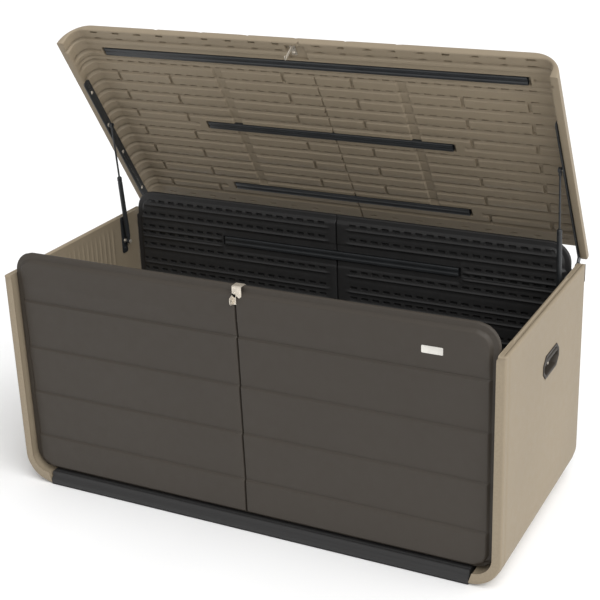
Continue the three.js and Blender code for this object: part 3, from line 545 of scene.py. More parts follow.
class Panel:
    """The right half of a front panel, with its outside towards -Y."""

    def __init__(self, node):
        low, high = box_mm(node)
        side, bottom, top = RAISED_INSET
        self.low = (low[0], low[2])
        self.high = (high[0], high[2])
        self.face = low[1]
        self.inside = high[1]
        self.border_face = self.face + FLANGE_SETBACK
        self.border_back = self.border_face + FLANGE_THICKNESS
        self.raised_low = (low[0] - PAST_SEAM, low[2] + bottom)
        self.raised_high = (high[0] - side, high[2] - top)

    def x_lines(self, slots):
        marks = round_marks(self.low[0], BORDER_RIM) + round_marks(self.high[0], -BORDER_RIM)
        marks += round_marks(self.low[0], SEAM_BEND) + round_marks(self.raised_high[0], -PANEL_BEND)
        marks += [self.high[0] - radius for radius in PANEL_RADII[1:3]]
        marks += [ROW_FROM - 2, ROW_FROM + 2, SHORT_FROM, BAR_FIELD[0], BAR_FIELD[0] + 3]
        marks += step_marks(BAR_RECESS_HALF[0], RECESS_EDGE)
        if slots:
            for centre in slot_centres():
                for end in (-SLOT_LENGTH / 2, SLOT_LENGTH / 2):
                    marks += [centre + end - SLOT_EDGE / 2, centre + end + SLOT_EDGE / 2]
        return grid_lines(self.low[0], self.high[0], 24 if slots else 30, marks)

    def z_lines(self):
        marks = round_marks(self.low[1], BORDER_RIM) + round_marks(self.high[1], -BORDER_RIM)
        marks += round_marks(self.raised_low[1], PANEL_BEND) + round_marks(self.raised_high[1], -PANEL_BEND)
        marks += [self.low[1] + PANEL_RADII[1], self.high[1] - PANEL_RADII[2]]
        for line in BOARD_LINES:
            marks += [line + offset for offset in (-6, -5, -4, -3, -2, -1, 0, 1, 3)]
        marks += ridge_marks(WALL_BAR_Z, BAR_RECESS_HALF[1], RECESS_EDGE)
        slot_edges = [side * (SLOT_HALF + share * SLOT_EDGE) for side in (-1, 1) for share in (-0.5, 0.5)]
        for row in FULL_ROWS + SHORT_ROWS:
            marks += [row + offset for offset in slot_edges]
            marks += [row - LEDGE_DROP + offset for offset in (-5, -2.5, 0, 2.5, 5)]
            marks += [row - CREASE_DROP + offset for offset in (-3, 0, 3)]
        return grid_lines(self.low[1], self.high[1], 16, marks)

    def plan(self, slots):
        """The grid of X and Z positions over the panel."""
        x, z = np.meshgrid(self.x_lines(slots), self.z_lines(), indexing="ij")
        for radius, sz, edge in ((PANEL_RADII[1], -1, self.low[1]), (PANEL_RADII[2], 1, self.high[1])):
            centre = (self.high[0] - radius, edge - sz * radius)
            x, z = round_corner(x, z, centre, radius, 1, sz)
        return x, z

    def rise(self, x, z):
        """0 on the border and 1 on the raised face."""
        sides = inside_distance(x, z, self.raised_low, self.raised_high, RAISED_RADII) / PANEL_BEND
        seam = (x - self.low[0] - SEAM_BORDER) / SEAM_BEND
        return np.minimum(smooth(sides), quarter(seam))

    def rim(self, x, z):
        return rounding(inside_distance(x, z, self.low, self.high, PANEL_RADII), BORDER_RIM)

    def outer(self, x, z):
        rise = self.rise(x, z)
        y = self.border_face + (self.face - self.border_face) * rise
        return y + boards(z) * rise + self.rim(x, z)

    def inner(self, x, z, slots):
        rise = self.rise(x, z)
        y = self.border_back + (self.inside - self.border_back) * rise
        return y + louvres(x, z, slots) * rise - self.rim(x, z)

    def piece(self, name, slots, scarf):
        """Its seam edge slants by scarf from the outside to the inside, so that the halves overlap."""
        x, z = self.plan(slots)
        inside_x = x + scarf * smooth((self.low[0] + SCARF_RUN - x) / SCARF_RUN)
        outside = np.stack([x, self.outer(x, z), z], -1)
        inside = np.stack([inside_x, self.inner(x, z, slots), z], -1)
        return slab(name, outside, inside)


def boards(z):
    """How far the outside is set back: each board leans out towards its top edge, over a thin groove."""
    back = np.zeros_like(z)
    groove, groove_height = GROOVE_ABOVE_LAP
    for line, above in zip(BOARD_LINES, BOARD_LINES[1:] + (LEAN_TOP,)):
        lap = smooth((z - line + LAP_HEIGHT) / LAP_HEIGHT)
        lean = np.clip((above - z) / (above - line), 0, 1)
        back = back + lap * (BOARD_LAP * lean + groove * smooth((line + groove_height - z) / groove_height))
    return back


def slot_centres():
    count = int((LAST_SLOT - FIRST_SLOT) / SLOT_PITCH)
    return [FIRST_SLOT + SLOT_LENGTH / 2 + k * SLOT_PITCH for k in range(count + 1)]


def louvres(x, z, slots):
    """The height of the inside face: rows of slots, each with a ledge and a crease below it."""
    height = np.zeros_like(x)
    across = np.zeros_like(x)
    for centre in slot_centres():
        across = np.maximum(across, ridge(x - centre, SLOT_LENGTH / 2, SLOT_EDGE))
    field_half, field_bottom, field_top = BAR_FIELD
    field = ridge(x, field_half, BAR_FIELD_EDGE) * (z > field_bottom) * (z < field_top)
    row_span = smooth((x - ROW_FROM) / ROW_FADE) * smooth((ROW_TO - x) / ROW_FADE)
    short_span = row_span * smooth((x - SHORT_FROM + SHORT_FADE[0]) / SHORT_FADE[1])
    crease_depth, crease_half, crease_edge = CREASE
    for row in FULL_ROWS + SHORT_ROWS:
        span = short_span if row in SHORT_ROWS else row_span
        ledge = LEDGE_RISE * ridge(z - row + LEDGE_DROP, LEDGE_HALF, LEDGE_EDGE)
        crease = crease_depth * ridge(z - row + CREASE_DROP, crease_half, crease_edge)
        height = height + span * (ledge - crease) * (1 - field)
        if slots:
            height = height - SLOT_DEPTH * across * ridge(z - row, SLOT_HALF, SLOT_EDGE) * span * (1 - field)
    height = height - BAR_FIELD_DROP * field
    half_length, half_height = BAR_RECESS_HALF
    recess = ridge(x, half_length, RECESS_EDGE) * ridge(z - WALL_BAR_Z, half_height, RECESS_EDGE)
    return height * (1 - recess) - BAR_RECESS * recess


def make_front_panels():
    panel = Panel("front_panel_right")
    right = panel.piece("front_panel_right_piece", False, SCARF)
    left = flipped(panel.piece("front_panel_left_half", False, -SCARF), "front_panel_left_piece")
    put(right, BODY, UMBER, "umber_plastic", "front_panel_right")
    put(left, BODY, UMBER, "umber_plastic", "front_panel_left")


def make_back_panels():
    """Front panels turned round, with slots inside, and drawn in beside the lid arms."""
    panel = Panel("front_panel_right")
    depth, start, run = ARM_NOTCH
    halves = []
    for name, scarf in (("back_panel_left_piece", SCARF), ("back_panel_right_half", -SCARF)):
        half = panel.piece(name, True, scarf)
        for vertex in half.data.vertices:
            share = float(smooth((vertex.co.z / MM - start) / run))
            vertex.co.x -= depth * MM * share * vertex.co.x / (panel.high[0] * MM)
        half.data.transform(Matrix.Rotation(math.pi, 4, "Z"))
        halves.append(half)
    right = flipped(halves[1], "back_panel_right_piece")
    put(halves[0], BODY, BLACK, "black_plastic", "back_panel_left")
    put(right, BODY, BLACK, "black_plastic", "back_panel_right")


# ---- side panels ----

HANDLE = (28, 500)  # Y and Z of its middle
HANDLE_HALF = (70, 32.5)
HANDLE_CHAMFER = 22
HANDLE_POCKET = 19
HANDLE_FIELD = ((81, 41), 3)  # half size of the finer grid round the handle, and its step
WALL = 23.5
LEDGE = 667  # top of the outside shoulder
OUTSIDE_RADIUS = 90  # bottom corners
INSIDE_RADIUS = 58
SHOULDER_RADIUS = 6
BEND_POINTS = 26
SHOULDER_POINTS = 7
EDGE_ROUND = 7
EDGE_SHARES = (0.9, 0.6)  # of the rounding, outside and inside
EDGE_STEP = (24, 1.6, 5)  # setback, height and width of the step behind the front and back edges
RIB_PITCH = 23
RIBBED = (-290, 190)
RIB = (4, 5, 2)  # half width, edge and depth
RIBS_UP = ((60, 60), (640, 16))  # Z where the ribs begin and end, each with the height over which they fade
LIP_RUN = (-250, 215)
LIP_FADE = 14
LIP_SECTION = (  # X from the outside, and Z from the ledge: a groove and then the lip
    (-7.5, 0), (-9, -0.8), (-10.2, -3.6), (-11.6, -3.8), (-12.6, -1.6), (-13.2, 1), (-13.8, 3.6), (-15, 4.8),
    (-17.4, 5), (-19.8, 4.6), (-21.6, 3))


def arc(centre, radius, start, stop, count):
    """Points round an arc in X and Z, with angles in degrees from +X."""
    angles = np.radians(np.linspace(start, stop, count))
    return np.stack([centre[0] + radius * np.cos(angles), centre[1] + radius * np.sin(angles)], -1)


def upright(x, heights):
    return np.stack([np.full_like(heights, x), heights], -1)


def normals(section):
    ahead = np.gradient(section, axis=0)
    ahead /= np.linalg.norm(ahead, axis=1)[:, None]
    return np.stack([ahead[:, 1], -ahead[:, 0]], -1)


def handle_marks(axis):
    """Fine grid lines round the handle, along Y for axis 0 and up for axis 1."""
    halves, step = HANDLE_FIELD
    return list(np.arange(HANDLE[axis] - halves[axis], HANDLE[axis] + halves[axis] + 1, float(step)))


def side_sections(outer_x, bottom):
    """Outside and inside points in X and Z, from under the box up to the lip, with the same numbering."""
    inner_x = outer_x - WALL
    centre_z = bottom + OUTSIDE_RADIUS
    foot = LEDGE - 8
    wall = grid_lines(centre_z, foot, 14, handle_marks(1))
    outer = [
        arc((outer_x - OUTSIDE_RADIUS, centre_z), OUTSIDE_RADIUS, -90, 0, BEND_POINTS),
        upright(outer_x, wall)[1:-1],
        arc((outer_x - SHOULDER_RADIUS, LEDGE - SHOULDER_RADIUS), SHOULDER_RADIUS, 0, 90, SHOULDER_POINTS),
        np.array(LIP_SECTION) + (outer_x, LEDGE)]
    inner_bend = arc((inner_x - INSIDE_RADIUS, centre_z), INSIDE_RADIUS, -90, 0, BEND_POINTS)
    inner = [
        inner_bend,
        upright(inner_x, wall)[1:-1],
        upright(inner_x, np.linspace(foot, LEDGE - 1, SHOULDER_POINTS)),
        upright(inner_x, np.linspace(LEDGE - 0.8, LEDGE + 0.6, len(LIP_SECTION)))]
    return np.concatenate(outer), np.concatenate(inner)


def side_lines(low_y, high_y, ribs):
    """Grid lines from the front to the back of a side panel."""
    setback, _, step_width = EDGE_STEP
    marks = round_marks(low_y, EDGE_ROUND) + round_marks(high_y, -EDGE_ROUND)
    marks += step_marks(low_y + setback, step_width) + step_marks(high_y - setback, step_width)
    for end in LIP_RUN:
        marks += step_marks(end, LIP_FADE)
    for line in ribs:
        marks += ridge_marks(line, RIB[0], RIB[1])
    return grid_lines(low_y, high_y, 14, marks + handle_marks(0))


def behind_handle(y, z):
    """Where the side panel is set back for the handle."""
    across = np.abs(y - HANDLE[0])
    up = np.abs(z - HANDLE[1])
    corner = (across + up - sum(HANDLE_HALF) + HANDLE_CHAMFER) / math.sqrt(2)
    outside = np.maximum(np.maximum(across - HANDLE_HALF[0], up - HANDLE_HALF[1]), corner)
    return (outside < 1) & (z > HANDLE[1] - 100)


def make_side_panels():
    low, high = box_mm("side_panel_right")
    outer, inner = side_sections(high[0], low[2])
    ribs = np.arange(RIBBED[0], RIBBED[1], RIB_PITCH)
    lines = side_lines(low[1], high[1], ribs)
    in_lip = np.arange(len(outer)) >= len(outer) - len(LIP_SECTION)
    out_normal = normals(outer)
    out_normal[in_lip] = (0, 1)
    in_normal = normals(inner)
    from_edge = np.minimum(lines - low[1], high[1] - lines)
    edge_fall = rounding(from_edge, EDGE_ROUND)
    setback, step_height, step_width = EDGE_STEP
    step_fall = step_height * smooth((setback + step_width / 2 - from_edge) / step_width)
    ribbed = np.zeros_like(lines)
    for line in ribs:
        ribbed = np.maximum(ribbed, ridge(lines - line, RIB[0], RIB[1]))
    lip_start = smooth((lines - LIP_RUN[0] + LIP_FADE / 2) / LIP_FADE)
    lip_end = smooth((LIP_RUN[1] + LIP_FADE / 2 - lines) / LIP_FADE)
    no_lip = 1 - lip_start * lip_end
    (ribs_from, fade_in), (ribs_to, fade_out) = RIBS_UP
    wall_share = smooth((outer[:, 1] - ribs_from) / fade_in) * smooth((ribs_to - outer[:, 1]) / fade_out)
    top_share = smooth((inner[:, 1] - LEDGE + 12) / 12)
    lip_rise = np.clip(outer[:, 1] - LEDGE, 0, None)
    groove = np.where(in_lip, np.clip(LEDGE - outer[:, 1], 0, None), 0)
    outside = []
    inside = []
    for j, y in enumerate(lines):
        fall = edge_fall[j] * EDGE_SHARES[0]
        along = np.full(len(outer), y)
        skin = outer - out_normal * (fall + step_fall[j] * (outer[:, 1] < LEDGE - 4))[:, None]
        skin_z = skin[:, 1] - lip_rise * no_lip[j] + groove * smooth((EDGE_ROUND * 2 - from_edge[j]) / 8)
        skin_x = np.where(behind_handle(y, skin_z), high[0] - HANDLE_POCKET, skin[:, 0])
        outside.append(np.stack([skin_x, along, skin_z], -1))
        inset = edge_fall[j] * EDGE_SHARES[1] * (1 - top_share) + RIB[2] * ribbed[j] * wall_share
        lining = inner - in_normal * inset[:, None]
        inside.append(np.stack([lining[:, 0], along, lining[:, 1] - fall * top_share], -1))
    right = slab("side_panel_right_piece", np.array(outside), np.array(inside))
    left = mirrored(right, "side_panel_left_piece")
    put(right, BODY, TAN, "tan_plastic", "side_panel_right")
    put(left, BODY, TAN, "tan_plastic", "side_panel_left")


# ---- lid ----

LID_WALL = 22
INSIDE_FLAT = 698  # from the middle to where the inside starts to bend down
INSIDE_BEND = 35
BEND_RUN = INSIDE_BEND * math.pi / 2
OUTSIDE_FLAT = 672
OUTSIDE_BEND = 83
SKIRT_TOP = 702
LID_MIDDLE = 5
GROOVES = [LID_MIDDLE + side * (36 + 40.8 * k) for k in range(6) for side in (-1, 1)]
GROOVE_HALF = 5.5
GROOVE_EDGE = 6
GROOVE_DEPTH = 6
GROOVES_TO = (752, 18)  # where the grooves run out on the skirt, and over what length
DASH_PITCH = 37.5
DASH_HALF = 10
DASH_DEPTH = 2.6
DASHES_TO = 670
RIM_DASH_PITCH = 75.5
RIM_DASH_START = 60
RIM_DASH_SHIFT = 2.4
RIM_DASHES_TO = 690
RIM_DASHES = ((-323, 2.3, 3), (-349, 3.2, 5.5), (350, 1.8, 3))  # Y, half width and depth
NOTCH_COLUMNS = ((-642, 0), (-461, 0), (-74, 1), (140, 1), (455, 0), (642, 0))  # X, and which rows it has
NOTCH_ROWS = ((-176.5, -93.5, -13, 61, 142.5, 224, 305), (-216.5, -135.5, -52, 61, 142.5, 224))
NOTCH_HALF = (4.9, 15)
NOTCH_LEVEL = -6
END_GROOVES = ((-275.8, 664), (LID_MIDDLE, 427), (285.8, 427))  # Y, and the |X| they start from
EDGE_GROOVES = ((-250, 6, 6, 3), (319, 5.5, 5, 5), (337, 3, 5, 2))  # Y, half width, edge and depth
FRONT_GROOVE = (-323, 5, 4, 5.5)  # the same
FRONT_BEAD = (-309, 2.5, 5, 1.6)  # Y, half width, edge and height
BEAD_TO = (700, 20)  # where the bead runs out, and over what length
LID_HOLES = ((24, -94), (24, 103), (28, 313), (26, -311), (6, -332))
HOLE_RADIUS = 3.6
HOLE_LEVEL = -12
CHANNELS = (-288, 288)
CHANNEL = (14, 5, 5.5)  # half width, edge and depth
CHANNEL_RUN = (-240, 262)
MIDDLE_LINE = (28, 2.2, 1.2, 4.5)  # X, half width, edge and depth
LATCH_POCKET_HALF = 30
LATCH_POCKET_RUN = (-346, -296)
LATCH_POCKET_DEPTH = 9
LATCH_NOTCH = (13, 3.5, 1, 4)  # X, half width, edge and depth of the notch in the front rim
TOP_LINES = (150, 300, 450, 600)
TOP_LINE = (3, 5, 2.6)  # half width, edge and depth
TOP_LINES_TO = 640
LID_RIM = 5
LID_CUT = (330, 352, 674, 721)  # the skirt's rear corner: warp from, foot y, foot z, top z
# Extra grid lines, close together where the holes, dashes and narrow grooves need them.
LINES_ACROSS = (20, 21, 22.5, 25, 26.2, 27.5, 29.8, 31, 31.8, 2.2, 3.2, 9, 10, 16, 17)
LINES_ALONG = (
    -352.8, -352, -346, -345.2, -341, -331, -329, -325.5, -325, -321, -320.4, -317, -315, -309, -303, -292,
    -258, -251, -243, 296, 304, 311, 313, 325, 327, 334, 343, 348, 348.6, 351.4, 352, 356, 361)


class Lid:
    """The lid as it lies closed: a U across the box, with its underside moulded into ribs."""

    def __init__(self):
        self.low, self.high = closed_box("lid_shell")
        self.bars = []
        for name in ("front", "middle", "rear"):
            low, high = closed_box("lid_bar_" + name)
            self.bars.append(((low[1] + high[1]) / 2, high[0]))

    def across(self):
        """Positions across the underside, measured along its surface from the middle."""
        foot = INSIDE_FLAT + BEND_RUN + SKIRT_TOP - self.low[2]
        marks = [INSIDE_FLAT + share * BEND_RUN for share in np.linspace(0, 1, 15)]
        marks += round_marks(foot, -LID_RIM)
        for k in range(18):
            centre = DASH_PITCH * (k + 0.5)
            marks += [centre + side * (DASH_HALF + play) for side in (-1, 1) for play in (-0.6, 0.6)]
        for k in range(9):
            centre = RIM_DASH_START + RIM_DASH_PITCH * k
            marks += [centre + side * (DASH_HALF + play) for side in (-1, 1) for play in (-0.6, 0.6)]
        for line in TOP_LINES:
            marks += ridge_marks(line, TOP_LINE[0], TOP_LINE[1])
        for _, half in self.bars:
            marks += step_marks(half + 8, RECESS_EDGE)
        for edge, width in ((274, 5), (302, 5), (430, 6), (667, 6), (LATCH_POCKET_HALF, RECESS_EDGE)):
            marks += step_marks(edge, width)
        both = marks + [-mark for mark in marks]
        for centre, _ in NOTCH_COLUMNS:
            both += [centre - 5.5, centre - 4.2, centre + 4.2, centre + 5.5]
        both += LINES_ACROSS
        return grid_lines(-foot, foot, 22, both)

    def along(self):
        marks = round_marks(self.low[1], LID_RIM) + round_marks(self.high[1], -LID_RIM)
        for _, along in LID_HOLES:
            marks += [along - 3.8, along - 2.8, along + 2.8, along + 3.8]
        for groove in GROOVES + [groove for groove, _ in END_GROOVES]:
            marks += [groove + side * offset for side in (-1, 1) for offset in (2, 2.6, 4.5, 6.5, 8.5)]
        for middle, _ in self.bars:
            for side in (-1, 1):
                marks += step_marks(middle + side * BAR_RECESS_HALF[1], RECESS_EDGE)
        marks += LINES_ALONG
        for edge in LATCH_POCKET_RUN:
            marks += step_marks(edge, RECESS_EDGE)
        for rows in NOTCH_ROWS:
            for row in rows:
                marks += [row - 14, row + 14]
        return grid_lines(self.low[1], self.high[1], 12, marks)

    def section(self, across):
        """Inner and outer points in X and Z at positions across the underside, with the inward normals."""
        s = np.abs(across)
        side = np.sign(across)
        turn = np.clip((s - INSIDE_FLAT) / INSIDE_BEND, 0, math.pi / 2)
        down = np.clip(s - INSIDE_FLAT - BEND_RUN, 0, None)
        top = self.high[2]
        inner_x = np.minimum(s, INSIDE_FLAT) + INSIDE_BEND * np.sin(turn)
        inner_z = top - LID_WALL - INSIDE_BEND + INSIDE_BEND * np.cos(turn) - down
        outer_x = np.minimum(s, INSIDE_FLAT) * OUTSIDE_FLAT / INSIDE_FLAT + OUTSIDE_BEND * np.sin(turn)
        drop = (top - OUTSIDE_BEND - self.low[2]) / (SKIRT_TOP - self.low[2])
        outer_z = top - OUTSIDE_BEND + OUTSIDE_BEND * np.cos(turn) - down * drop
        normal = np.stack([-side * np.sin(turn), -np.cos(turn)], -1)
        return np.stack([side * inner_x, inner_z], -1), np.stack([side * outer_x, outer_z], -1), normal

    def moulding(self, s, y):
        """How far the underside stands out, towards the box."""
        width = np.abs(s)
        height = np.zeros_like(s)
        ribs = smooth((sum(GROOVES_TO) - width) / GROOVES_TO[1])
        dash = (np.abs((width % DASH_PITCH) - DASH_PITCH / 2) < DASH_HALF) & (width < DASHES_TO)
        for groove in GROOVES:
            away = y - groove
            height = height - GROOVE_DEPTH * ridge(away, GROOVE_HALF, GROOVE_EDGE) * ribs
            height = np.where((np.abs(away) < 2.3) & dash, height - DASH_DEPTH, height)
        for groove, start in END_GROOVES:
            beyond = smooth((width - start) / 6)
            height = height - GROOVE_DEPTH * ridge(y - groove, GROOVE_HALF, GROOVE_EDGE) * ribs * beyond
        for centre, kind in NOTCH_COLUMNS:
            for row in NOTCH_ROWS[kind]:
                near = (np.abs(s - centre) < NOTCH_HALF[0]) & (np.abs(y - row) < NOTCH_HALF[1])
                height = np.where(near, np.minimum(height, NOTCH_LEVEL), height)
        half, edge, depth = CHANNEL
        for channel in CHANNELS:
            trough = ridge(s - channel, half, edge) * (y > CHANNEL_RUN[0]) * (y < CHANNEL_RUN[1])
            height = np.minimum(height, height * (1 - trough) + (0.2 * height - depth) * trough)
        middle, half, edge, depth = MIDDLE_LINE
        line = ridge(s - middle, half, edge) * (y > CHANNEL_RUN[0])
        height = np.minimum(height, height * (1 - line) - depth * line)
        for x, along in LID_HOLES:
            height = np.where(np.hypot(s - x, y - along) < HOLE_RADIUS, HOLE_LEVEL, height)
        height = self.edge_moulding(height, s, y, ribs)
        for middle, half in self.bars:
            recess = ridge(s, half + 8, RECESS_EDGE) * ridge(y - middle, BAR_RECESS_HALF[1], RECESS_EDGE)
            height = height * (1 - recess) - BAR_RECESS * recess
        front, back = LATCH_POCKET_RUN
        pocket = ridge(s, LATCH_POCKET_HALF, RECESS_EDGE)
        pocket = pocket * ridge(y - (front + back) / 2, (back - front) / 2, RECESS_EDGE)
        return height * (1 - pocket) - LATCH_POCKET_DEPTH * pocket

    def edge_moulding(self, height, s, y, ribs):
        """Adds the grooves, the bead and the rows of dashes along the lid's front and rear edges."""
        width = np.abs(s)
        middle, half, edge, depth = FRONT_GROOVE
        height = height - depth * ridge(y - middle, half, edge)
        middle, half, edge, rise = FRONT_BEAD
        height = height + rise * ridge(y - middle, half, edge) * smooth((sum(BEAD_TO) - width) / BEAD_TO[1])
        for middle, half, edge, depth in EDGE_GROOVES:
            height = height - depth * ridge(y - middle, half, edge) * ribs
        half_pitch = RIM_DASH_PITCH / 2
        place = (np.abs(s - RIM_DASH_SHIFT) - RIM_DASH_START + half_pitch) % RIM_DASH_PITCH
        dash = (np.abs(place - half_pitch) < DASH_HALF) & (width < RIM_DASHES_TO)
        for middle, half, depth in RIM_DASHES:
            height = np.where((np.abs(y - middle) < half) & dash, height - depth, height)
        return height

    def piece(self):
        across = self.across()
        inner, outer, normal = self.section(across)
        s, y = np.meshgrid(across, self.along(), indexing="ij")
        foot = across[-1]
        inside = inside_distance(s, y, (-foot, self.low[1]), (foot, self.high[1]), (0, 0, 0, 0))
        rim_fall = rounding(inside, LID_RIM)
        notch_x, half, edge, depth = LATCH_NOTCH
        notch = depth * ridge(s - notch_x, half, edge) * (y < self.low[1] + 6)
        stand = self.moulding(s, y) - rim_fall - notch
        plan = outer[:, 0][:, None] + 0 * y
        half, edge, depth = TOP_LINE
        lines = np.zeros_like(s)
        for line in (0,) + TOP_LINES:
            lines = np.maximum(lines, ridge(np.abs(plan) - line, half, edge))
        fall = rim_fall + depth * lines * (np.abs(plan) < TOP_LINES_TO)
        top = self.spread(outer, normal, fall, y)
        bottom = self.spread(inner, normal, stand, y)
        return slab("lid_shell_piece", opened(top), opened(bottom), 34)

    def spread(self, section, normal, offset, y):
        """A section moved along its normals at every Y, with the skirt's rear corner cut back."""
        x = section[:, 0][:, None] + normal[:, 0][:, None] * offset
        z = section[:, 1][:, None] + normal[:, 1][:, None] * offset
        start, foot_y, foot_z, top_z = LID_CUT
        share = np.clip((z - foot_z) / (top_z - foot_z), 0, 1)
        end = foot_y + (self.high[1] - foot_y) * share
        drawn = start + (y - start) * (end - start) / (self.high[1] - start)
        return np.stack([x, np.where(y > start, drawn, y), z], -1)


def make_lid():
    put(Lid().piece(), LID, TAN, "tan_plastic", "lid_shell")
    for name in ("front", "middle", "rear"):
        node = "lid_bar_" + name
        low, high = closed_box(node)
        bar = steel_bar(node + "_piece", low, high, 2, -1, opened)
        put(bar, LID, DARK_STEEL, "dark_steel", node)


# ---- steel bars ----

BAR_CORNER = 2.6
BAR_WALL = 1.6
BAR_GROOVE = ((6, 0), (4.6, 0.2), (3.4, 1.1), (2, 1.4))  # half of the groove in its face: place and depth
BAR_GROOVE_DEPTH = 1.4
BAR_END = 0.4  # how much smaller the tube is at its very ends


def bar_section(half_width, half_height):
    """A rounded rectangle with a shallow groove in its upper side."""
    points = []
    for corner, (sx, sy) in enumerate(((1, 1), (-1, 1), (-1, -1), (1, -1))):
        for step in range(5):
            turn = math.radians(90 * corner + 22.5 * step)
            points.append((sx * (half_width - BAR_CORNER) + BAR_CORNER * math.cos(turn),
                           sy * (half_height - BAR_CORNER) + BAR_CORNER * math.sin(turn)))
        if corner == 0:
            points += [(u, half_height - dip) for u, dip in BAR_GROOVE]
            points.append((0, half_height - BAR_GROOVE_DEPTH))
            points += [(-u, half_height - dip) for u, dip in reversed(BAR_GROOVE)]
    return np.array(points)


def steel_bar(name, low, high, axis, face, place=lambda points: points):
    """An open-ended tube along X. Its face, towards the given side of the given axis, has a shallow groove."""
    width_axis = 3 - axis
    centre = (np.asarray(low) + high) / 2
    half_width = (high[width_axis] - low[width_axis]) / 2
    half_height = (high[axis] - low[axis]) / 2
    outer = bar_section(half_width, half_height)
    tip = outer * (1 - BAR_END / half_height)
    inner = outer * (1 - BAR_WALL / half_width, 1 - BAR_WALL / half_height)
    inner[:, 1] = np.minimum(inner[:, 1], half_height - BAR_GROOVE_DEPTH - BAR_WALL * 0.6)
    start, stop = low[0], high[0]
    runs = [(start, tip), (start + 1, outer), (start + 60, outer)]
    runs += [(stop - 60, outer), (stop - 1, outer), (stop, tip)]
    runs += [(stop, inner), (stop - 60, inner), (start + 60, inner), (start, inner)]
    points = np.zeros((len(runs), len(outer), 3))
    for points_there, (x, section) in zip(points, runs):
        points_there[:, 0] = x
        points_there[:, width_axis] = centre[width_axis] + section[:, 0]
        points_there[:, axis] = centre[axis] + face * section[:, 1]
    faces = loop_faces(len(runs), len(outer), closed=True)
    if (axis == 2) == (face < 0):
        faces = faces[:, ::-1]
    return mesh_piece(name, place(points.reshape(-1, 3)), faces, 34)


def make_wall_bars():
    for node, face in (("front_bar", 1), ("back_bar", -1)):
        low, high = box_mm(node)
        put(steel_bar(node + "_piece", low, high, 1, face), BODY, DARK_STEEL, "dark_steel", node)


# ---- floor ----

FLOOR_EDGE = (  # in from the base's edge, and up: a lip, a step and a rounded top
    (3, 0), (1, 1), (0, 3.5), (0, 13), (0.6, 16), (2.4, 18.4), (6.4, 21), (8.5, 24), (8.5, 34),
    (9.7, 36.8), (12.5, 38))
FLOOR_RIBS = np.arange(-320, 321, 40)
FLOOR_RIB = (8, 5, 2.5)  # half width, edge and height
UNDER_COLUMNS = 6
UNDER_ROWS = 2
UNDER_RIB = 34
UNDER_DEPTH = 10
UNDER_EDGE = 8


def floor_pockets(x, y, low, high):
    """How deep the underside is hollowed, in a grid of pockets between ribs."""
    depth = np.zeros_like(x)
    cell_x = (2 * high[0] - UNDER_RIB) / UNDER_COLUMNS
    cell_y = (high[1] - low[1] - UNDER_RIB) / UNDER_ROWS
    half_x = (cell_x - UNDER_RIB) / 2
    half_y = (cell_y - UNDER_RIB) / 2
    for i in range(UNDER_COLUMNS):
        for j in range(UNDER_ROWS):
            centre_x = -high[0] + UNDER_RIB + i * cell_x + half_x
            centre_y = low[1] + UNDER_RIB + j * cell_y + half_y
            pocket = ridge(x - centre_x, half_x, UNDER_EDGE) * ridge(y - centre_y, half_y, UNDER_EDGE)
            depth = np.maximum(depth, pocket)
    return UNDER_DEPTH * depth


def make_floor():
    low, high = box_mm("floor_panel")
    half = high[0]
    rib_half, rib_edge, rib_height = FLOOR_RIB
    front = np.array([(low[1] + inset, up) for inset, up in FLOOR_EDGE])
    back = (front * (-1, 1))[::-1]
    rib_marks = [mark for rib in FLOOR_RIBS for mark in ridge_marks(rib, rib_half, rib_edge)]
    top_y = grid_lines(front[-1, 0], back[0, 0], 12, rib_marks)[1:-1]
    rise = np.zeros_like(top_y)
    for rib in FLOOR_RIBS:
        rise = np.maximum(rise, ridge(top_y - rib, rib_half, rib_edge))
    x_lines = grid_lines(-half, half, 40, round_marks(-half, 2) + round_marks(half, -2))
    across = np.concatenate([front[:, 0], top_y, back[:, 0]])
    up = np.concatenate([front[:, 1], high[2] - rib_height * (1 - rise), back[:, 1]])
    x, y = np.meshgrid(x_lines, across, indexing="ij")
    top = np.stack([x, y, up + 0 * x], -1)
    under = np.stack([x, y, np.minimum(0.0, up) + floor_pockets(x, y, low, high)], -1)
    put(slab("floor_panel_piece", top, under), BODY, BLACK, "black_plastic", "floor_panel")


# ---- hardware ----

HEAD_RADIUS = 5.5
HEAD_HEIGHT = 2.6
HEAD_EDGE = 0.9  # height of the head's upright edge, where its dome begins
SHANK = 3
SHANK_LENGTH = 14
THREAD_TURNS = 9
THREAD_PITCH = 1.4
THREAD_DEPTH = 0.55
RECESS_BARS = ((HEAD_HEIGHT + 1, 3.3, 0.62), (HEAD_HEIGHT - 1.5, 1.5, 0.4))  # Z, reach and half width
PLATES = (("lid_arm", LID, 0.6), ("hinge_bracket", BODY, 0.5), ("strut_bracket", BODY, 0.5))  # and edge width


def frame_of(direction, spot):
    """Moves a piece made along +Z so that +Z points along direction from spot."""
    turn = Vector((0, 0, 1)).rotation_difference(Vector(direction))
    return Matrix.Translation(spot) @ turn.to_matrix().to_4x4()


def open_piece(piece):
    """Turns a piece made on the closed lid open."""
    hinge = Vector(HINGE * MM)
    turn = Matrix.Rotation(-OPEN_ANGLE, 4, "X")
    piece.data.transform(Matrix.Translation(hinge) @ turn @ Matrix.Translation(-hinge))


def cut(piece, cutter):
    """Takes the cutter out of a piece."""
    boolean = piece.modifiers.new("cut", "BOOLEAN")
    boolean.operation = "DIFFERENCE"
    boolean.solver = "EXACT"
    boolean.use_self = True
    boolean.object = cutter
    depsgraph = bpy.context.evaluated_depsgraph_get()
    mesh = bpy.data.meshes.new_from_object(piece.evaluated_get(depsgraph))
    piece.modifiers.clear()
    piece.data = mesh
    bpy.data.objects.remove(cutter)


